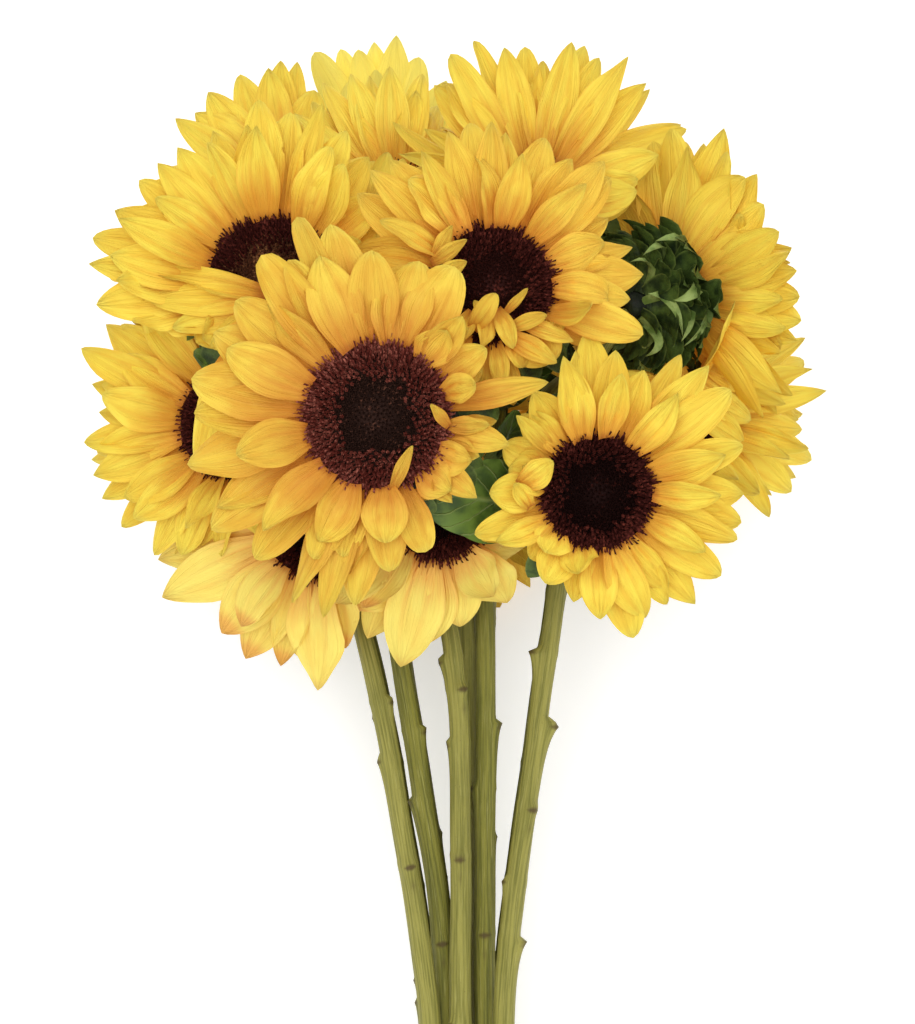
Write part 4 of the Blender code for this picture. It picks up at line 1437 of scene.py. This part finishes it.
maroon = floret_finish("floret_maroon", colour(56, 19, 15), colour(120, 57, 46), 0.46, 0.74)
rosy = floret_finish("floret_rosy", colour(94, 38, 30), colour(172, 102, 86), 0.44, 0.72)
black = floret_finish("floret_black", colour(25, 6, 4), colour(80, 32, 25), 0.56, 0.80)
cocoa = floret_finish("floret_cocoa", colour(42, 14, 10), colour(116, 56, 46), 0.54, 0.78)
umber = floret_finish("floret_umber", colour(42, 24, 18), colour(126, 80, 62), 0.54, 0.78)
tan = floret_finish("floret_tan", colour(78, 44, 28), colour(168, 116, 76), 0.46, 0.72)
open_floret.data.materials.append(maroon.material)
closed_floret.data.materials.append(black.material)
print("a floret finish has", len(black.tree.nodes), "nodes")

# %% [markdown]
# ## Make the discs
# Under the florets lies a dark cushion, a turned shape of a few rings, so that no light shows
# between them. The tree runs on it as a modifier, and the result is taken as a plain mesh. A
# bloom is made lying flat at the origin and then carried to its place by a matrix.

# %% Make the discs
DISC_DOME = 4.0
CUSHION = (1.0, 0.85, 0.65, 0.4, 0.15)  # rings of the dark cushion under the florets
CUSHION_DOME, CUSHION_DROP = DISC_DOME + 0.3, 0.9
AROUND = 32  # sides of a turned shape
OPEN_FROM, USUALLY_FROM = {1: 0.52, 4: 0.62}, 0.55
FLORETS_PER_MM2 = 0.32
AGED = {1: disc_tree(rosy, umber), 2: disc_tree(maroon, tan), 3: disc_tree(maroon, cocoa)}
YOUNG = disc_tree(maroon, black)


def made_real(carrier, tree, values, name):
    """The mesh of a tree run on the carrier, as a plain object; values are by input name."""
    modifier = carrier.modifiers.new(tree.name, "NODES")
    modifier.node_group = tree
    for item in tree.interface.items_tree:
        if item.in_out == "INPUT" and item.name in values:
            modifier[item.identifier] = values[item.name]
    graph = bpy.context.evaluated_depsgraph_get()
    mesh = bpy.data.meshes.new_from_object(carrier.evaluated_get(graph), depsgraph=graph,
                                           preserve_all_data_layers=True)
    carrier.modifiers.remove(modifier)
    mesh.name = name
    bpy.data.objects.remove(carrier)
    return linked(name, mesh)


def bloom_matrix(number):
    """Carries a bloom's own metres, with z the way it faces, to its place in the model."""
    centre, facing = BLOOMS[number][:2]
    ends = laid_down([centre] + [np.add(centre, axis) for axis in bloom_axes(facing)])
    columns = (ends[1:] - ends[0]) / MM
    return Matrix.Translation(Vector(ends[0])) @ Matrix(columns.tolist()).transposed().to_4x4()


def lathed(name, profile, around, finish):
    """A closed shape turned about z from (radius, height) pairs, in a bloom's own metres."""
    turn = np.linspace(0, 2 * math.pi, around, endpoint=False)
    rings = [np.stack([r * np.cos(turn), r * np.sin(turn), 0 * turn + h], -1) for r, h in profile]
    mesh = meshed(name, np.concatenate(rings) * MM, tube_faces(len(profile), around))
    mesh.shade_smooth()
    mesh.materials.append(finish.material)
    return linked(name, mesh)


for n, bloom in BLOOMS.items():
    disc = EYE.get(n, bloom[2])
    profile = [(disc * 0.9, -4.0)]
    profile += [(disc * share, CUSHION_DOME * (1 - share**2) - CUSHION_DROP) for share in CUSHION]
    cushion = lathed("cushion", profile, AROUND, black)
    many = round(FLORETS_PER_MM2 * math.pi * disc**2)
    values = {"Disc radius": disc * MM, "Dome": DISC_DOME * MM, "Florets": many,
              "Open from": OPEN_FROM.get(n, USUALLY_FROM), "Seed": 7 * n}
    piece = made_real(cushion, AGED.get(n, YOUNG), values, f"disc_{n:02d}")
    piece.data.transform(bloom_matrix(n))
    settled(piece, f"bloom_{n:02d}")

# %% [markdown]
# ## The calyx: a green cup of bracts
# Behind the disc a sunflower has a fleshy green cup, clothed in rows of pointed bracts that
# overlap like tiles and curl away at their tips. Each bract could be drawn by itself, but they
# differ little, so two are shaped once, a flat one and a curling one, and repeated by a tree.

# %% Bracts
BRACT_ROWS, BRACT_CELLS = 6, 3


def bract_finish(name, dark, light):
    f = Finish(name, Roughness=0.5, Specular_IOR_Level=0.25)
    across, along, _ = f.parts(f.attribute("blade", "Vector"))
    place = f.add("ShaderNodeTexCoord", out="Object")
    cloud = f.noise(place, 160.0, 3.0)
    fine = f.noise(place, 900.0, 2.0)
    edge = across.math("ABSOLUTE", across)
    skin = f.blend((cloud + 0.25 * along).between(0.42, 0.78), dark, light)
    skin = f.blend(edge.between(0.75, 1.0) * 0.5, skin, colour(116, 132, 62))
    f.wear(Base_Color=skin, Roughness=0.42 + 0.25 * fine)
    f.relief(fine + edge, 0.0004)
    return f


bract_green = bract_finish("bract_green", colour(30, 45, 16), colour(75, 95, 38))
bract_light = bract_finish("bract_light", colour(96, 120, 52), colour(142, 160, 88))
# the cup is near black-green: its own green darkened to painted shade of the hollow behind the
# bracts
cup_green = bract_finish("cup_green", colour(16, 22, 10), colour(34, 46, 20))


def bract_shape(name, length, width, curl, twist, finish):
    """One bract along x, its upper side along z, in metres, ready to be copied."""
    ways = np.eye(3)
    bends = np.radians([[0.0], [curl], [twist]])
    line = blade_line(np.zeros(3), *ways, np.array([length]), *bends, BRACT_ROWS)
    half = width / 2 * 1.1 * outline(spots(BRACT_ROWS), 0.7, 1.25)
    shell = blade_shell(*(part[0] for part in line), half, cup=(0.8, 0.5),
                        roll=(0.0, math.radians(twist)), crease=0.0, wave=0.5, phase=0.4,
                        thick=0.7, cells=BRACT_CELLS)
    shape = blades_piece(name, [shell], [0.5], BRACT_ROWS, BRACT_CELLS, [finish])
    shape.data.vertices.foreach_set("co", (shell * MM).ravel())
    shape.data.uv_layers.remove(shape.data.uv_layers["OFBake"])
    return shape


bract = bract_shape("bract", length=21.0, width=11.0, curl=-75, twist=0, finish=bract_green)
curling_bract = bract_shape("curling_bract", 27.0, 7.0, curl=-170, twist=35, finish=bract_light)
print("bract:", len(bract.data.polygons), "faces")


# %% [markdown]
# ## The tree of the calyx
# The bracts follow the same golden angle as the florets, from the rim of the disc down the back
# of the cup. Each is a little different in size, lift and twist, and about one in five is a
# curling one. The cup itself has no mark, so the tree's last two nodes leave its finish alone.

# %% The tree of the calyx
def calyx_tree():
    """The tree that tiles bracts round the cup, from the rim of the disc down its back."""
    b = Builder("bract_spiral", {"Disc radius": "Float", "Bracts": "Int", "Seed": "Int"})
    radius, count, seed = (b.given.sister(k) for k in range(1, 4))
    index = b.add("GeometryNodeInputIndex")
    share = (index + 0.5) / count
    angle = index * GOLDEN_ANGLE
    flat = radius * (1.03 - 0.1 * share - 0.68 * share ** 2.0)
    place = b.vector(flat * angle.math("COSINE", angle), flat * angle.math("SINE", angle),
                     (-3.0 - 23.0 * share) * MM)
    back = b.random(-0.25, 0.3, seed) + 0.15 - 0.65 * share
    turn = (b.random(-0.35, 0.35, seed + 1), back, angle + b.random(-0.25, 0.25, seed + 2))
    curls = share.math("GREATER_THAN", b.random(0.0, 1.0, seed + 4), FLAT_SHARE)
    points = b.marked(b.numbered_points(count, place), "bract", 1.0 + curls)
    size = b.random(0.8, 1.2, seed + 3) * (1.0 - 0.25 * share)
    tiles = b.copies(points, bract, 1.0 - curls, turn, size)
    curling = b.copies(points, curling_bract, curls, turn, size)
    kind = b.mark("bract")
    return b.done([b.given, tiles, curling],
                  [(bract_green, kind.math("GREATER_THAN", kind, 0.5)),
                   (bract_light, kind.math("GREATER_THAN", kind, 1.5))])


BRACTS, FLAT_SHARE = 124, 0.82  # bracts of a calyx, and the share of them that lie flat
bract_spiral = calyx_tree()
print("the calyx's tree has", len(bract_spiral.nodes), "nodes")

# %% [markdown]
# ## Make the calyxes
# The cup is a turned shape that narrows to the neck of the stalk, and the tree runs on it as on
# a disc. Where a calyx would stand out past the petals of its own bloom, it is made smaller and
# set further back.

# %% Make the calyxes
CUP_PROFILE = (  # (share of the disc's radius, height)
    (0.97, -0.5), (1.05, -2.5), (1.06, -5.0), (0.92, -10.5), (0.66, -17.0), (0.36, -22.5))
NECK_PROFILE = ((5.4, -26.0), (4.5, -30.0))  # (radius, height)
SET_BACK = {11: (19.0, 3.0), 15: (20.0, 0.0)}  # bloom: its calyx's own radius, mm further back
for n, bloom in BLOOMS.items():
    disc, back = SET_BACK.get(n, ((bloom[2] + EYE.get(n, bloom[2])) / 2, 0.0))
    profile = [(share * disc, height) for share, height in CUP_PROFILE] + list(NECK_PROFILE)
    cup = lathed("cup", profile[::-1], AROUND, cup_green)
    values = {"Disc radius": disc * MM, "Bracts": BRACTS, "Seed": 11 * n}
    piece = made_real(cup, bract_spiral, values, f"calyx_{n:02d}")
    piece.data.transform(bloom_matrix(n) @ Matrix.Translation((0, 0, -back * MM)))
    settled(piece, f"bloom_{n:02d}")

# %% [markdown]
# ## Lashes on a back that shows
# Bloom 11 turns its back to the viewer, and its oldest bracts have grown long and curl over like
# lashes. They are too few for a rule, so each one has its place. Its middle line is a simple
# curve from its root, which bows towards a given point and comes down to its tip.

# %% Curling lashes
LASHES = (  # root, the point it bows towards, tip, width
    ((76, 309, 18), (92, 306, 38), (94, 287, 33), 5.0),
    ((96, 306, 16), (101, 296, 38), (93, 285, 34), 4.0),
    ((99, 307, 12), (114, 298, 34), (94, 283, 32), 4.5),
    ((77, 295, 20), (90, 284, 38), (78, 279, 32), 5.0),
)
shells = []
for root, bow, tip, wide in LASHES:
    root, bow, tip = (np.array(place, float) for place in (root, bow, tip))
    middle, way = bowed_line(root, bow, tip, PETAL_ROWS)
    over = unit(np.array((0.0, 0.0, 1.0)) - way * way[:, 2:])
    half = wide / 2 * outline(spots(PETAL_ROWS), 0.8, 1.0)
    shells.append(blade_shell(middle, way, over, half, cup=(0.9, 0.5), roll=(0.2, -0.6),
                              crease=0.0, wave=0.6, phase=wide, thick=0.7, cells=PETAL_CELLS))
lashes = blades_piece("calyx_lashes_11", shells, [0.2, 0.4, 0.6, 0.8], PETAL_ROWS, PETAL_CELLS,
                      [bract_light])
settled(lashes, "bloom_11")
for template in (open_floret, closed_floret, bract, curling_bract):
    bpy.data.objects.remove(template)
print("lashes:", len(LASHES))

# %% [markdown]
# ## The size of the dressed bunch
# The dressed bunch must stay the size of the imported model. Both boxes are gathered side by
# side, and the last line prints the size of the dressed bunch.

# %% The sizes of the two boxes
new_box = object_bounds()
boxes = {name: [list(corner) for corner in box]
         for name, box in (("cad", cad_box), ("visual", new_box))}
print("size in mm:", [round((b - a) / MM) for a, b in zip(*new_box)])
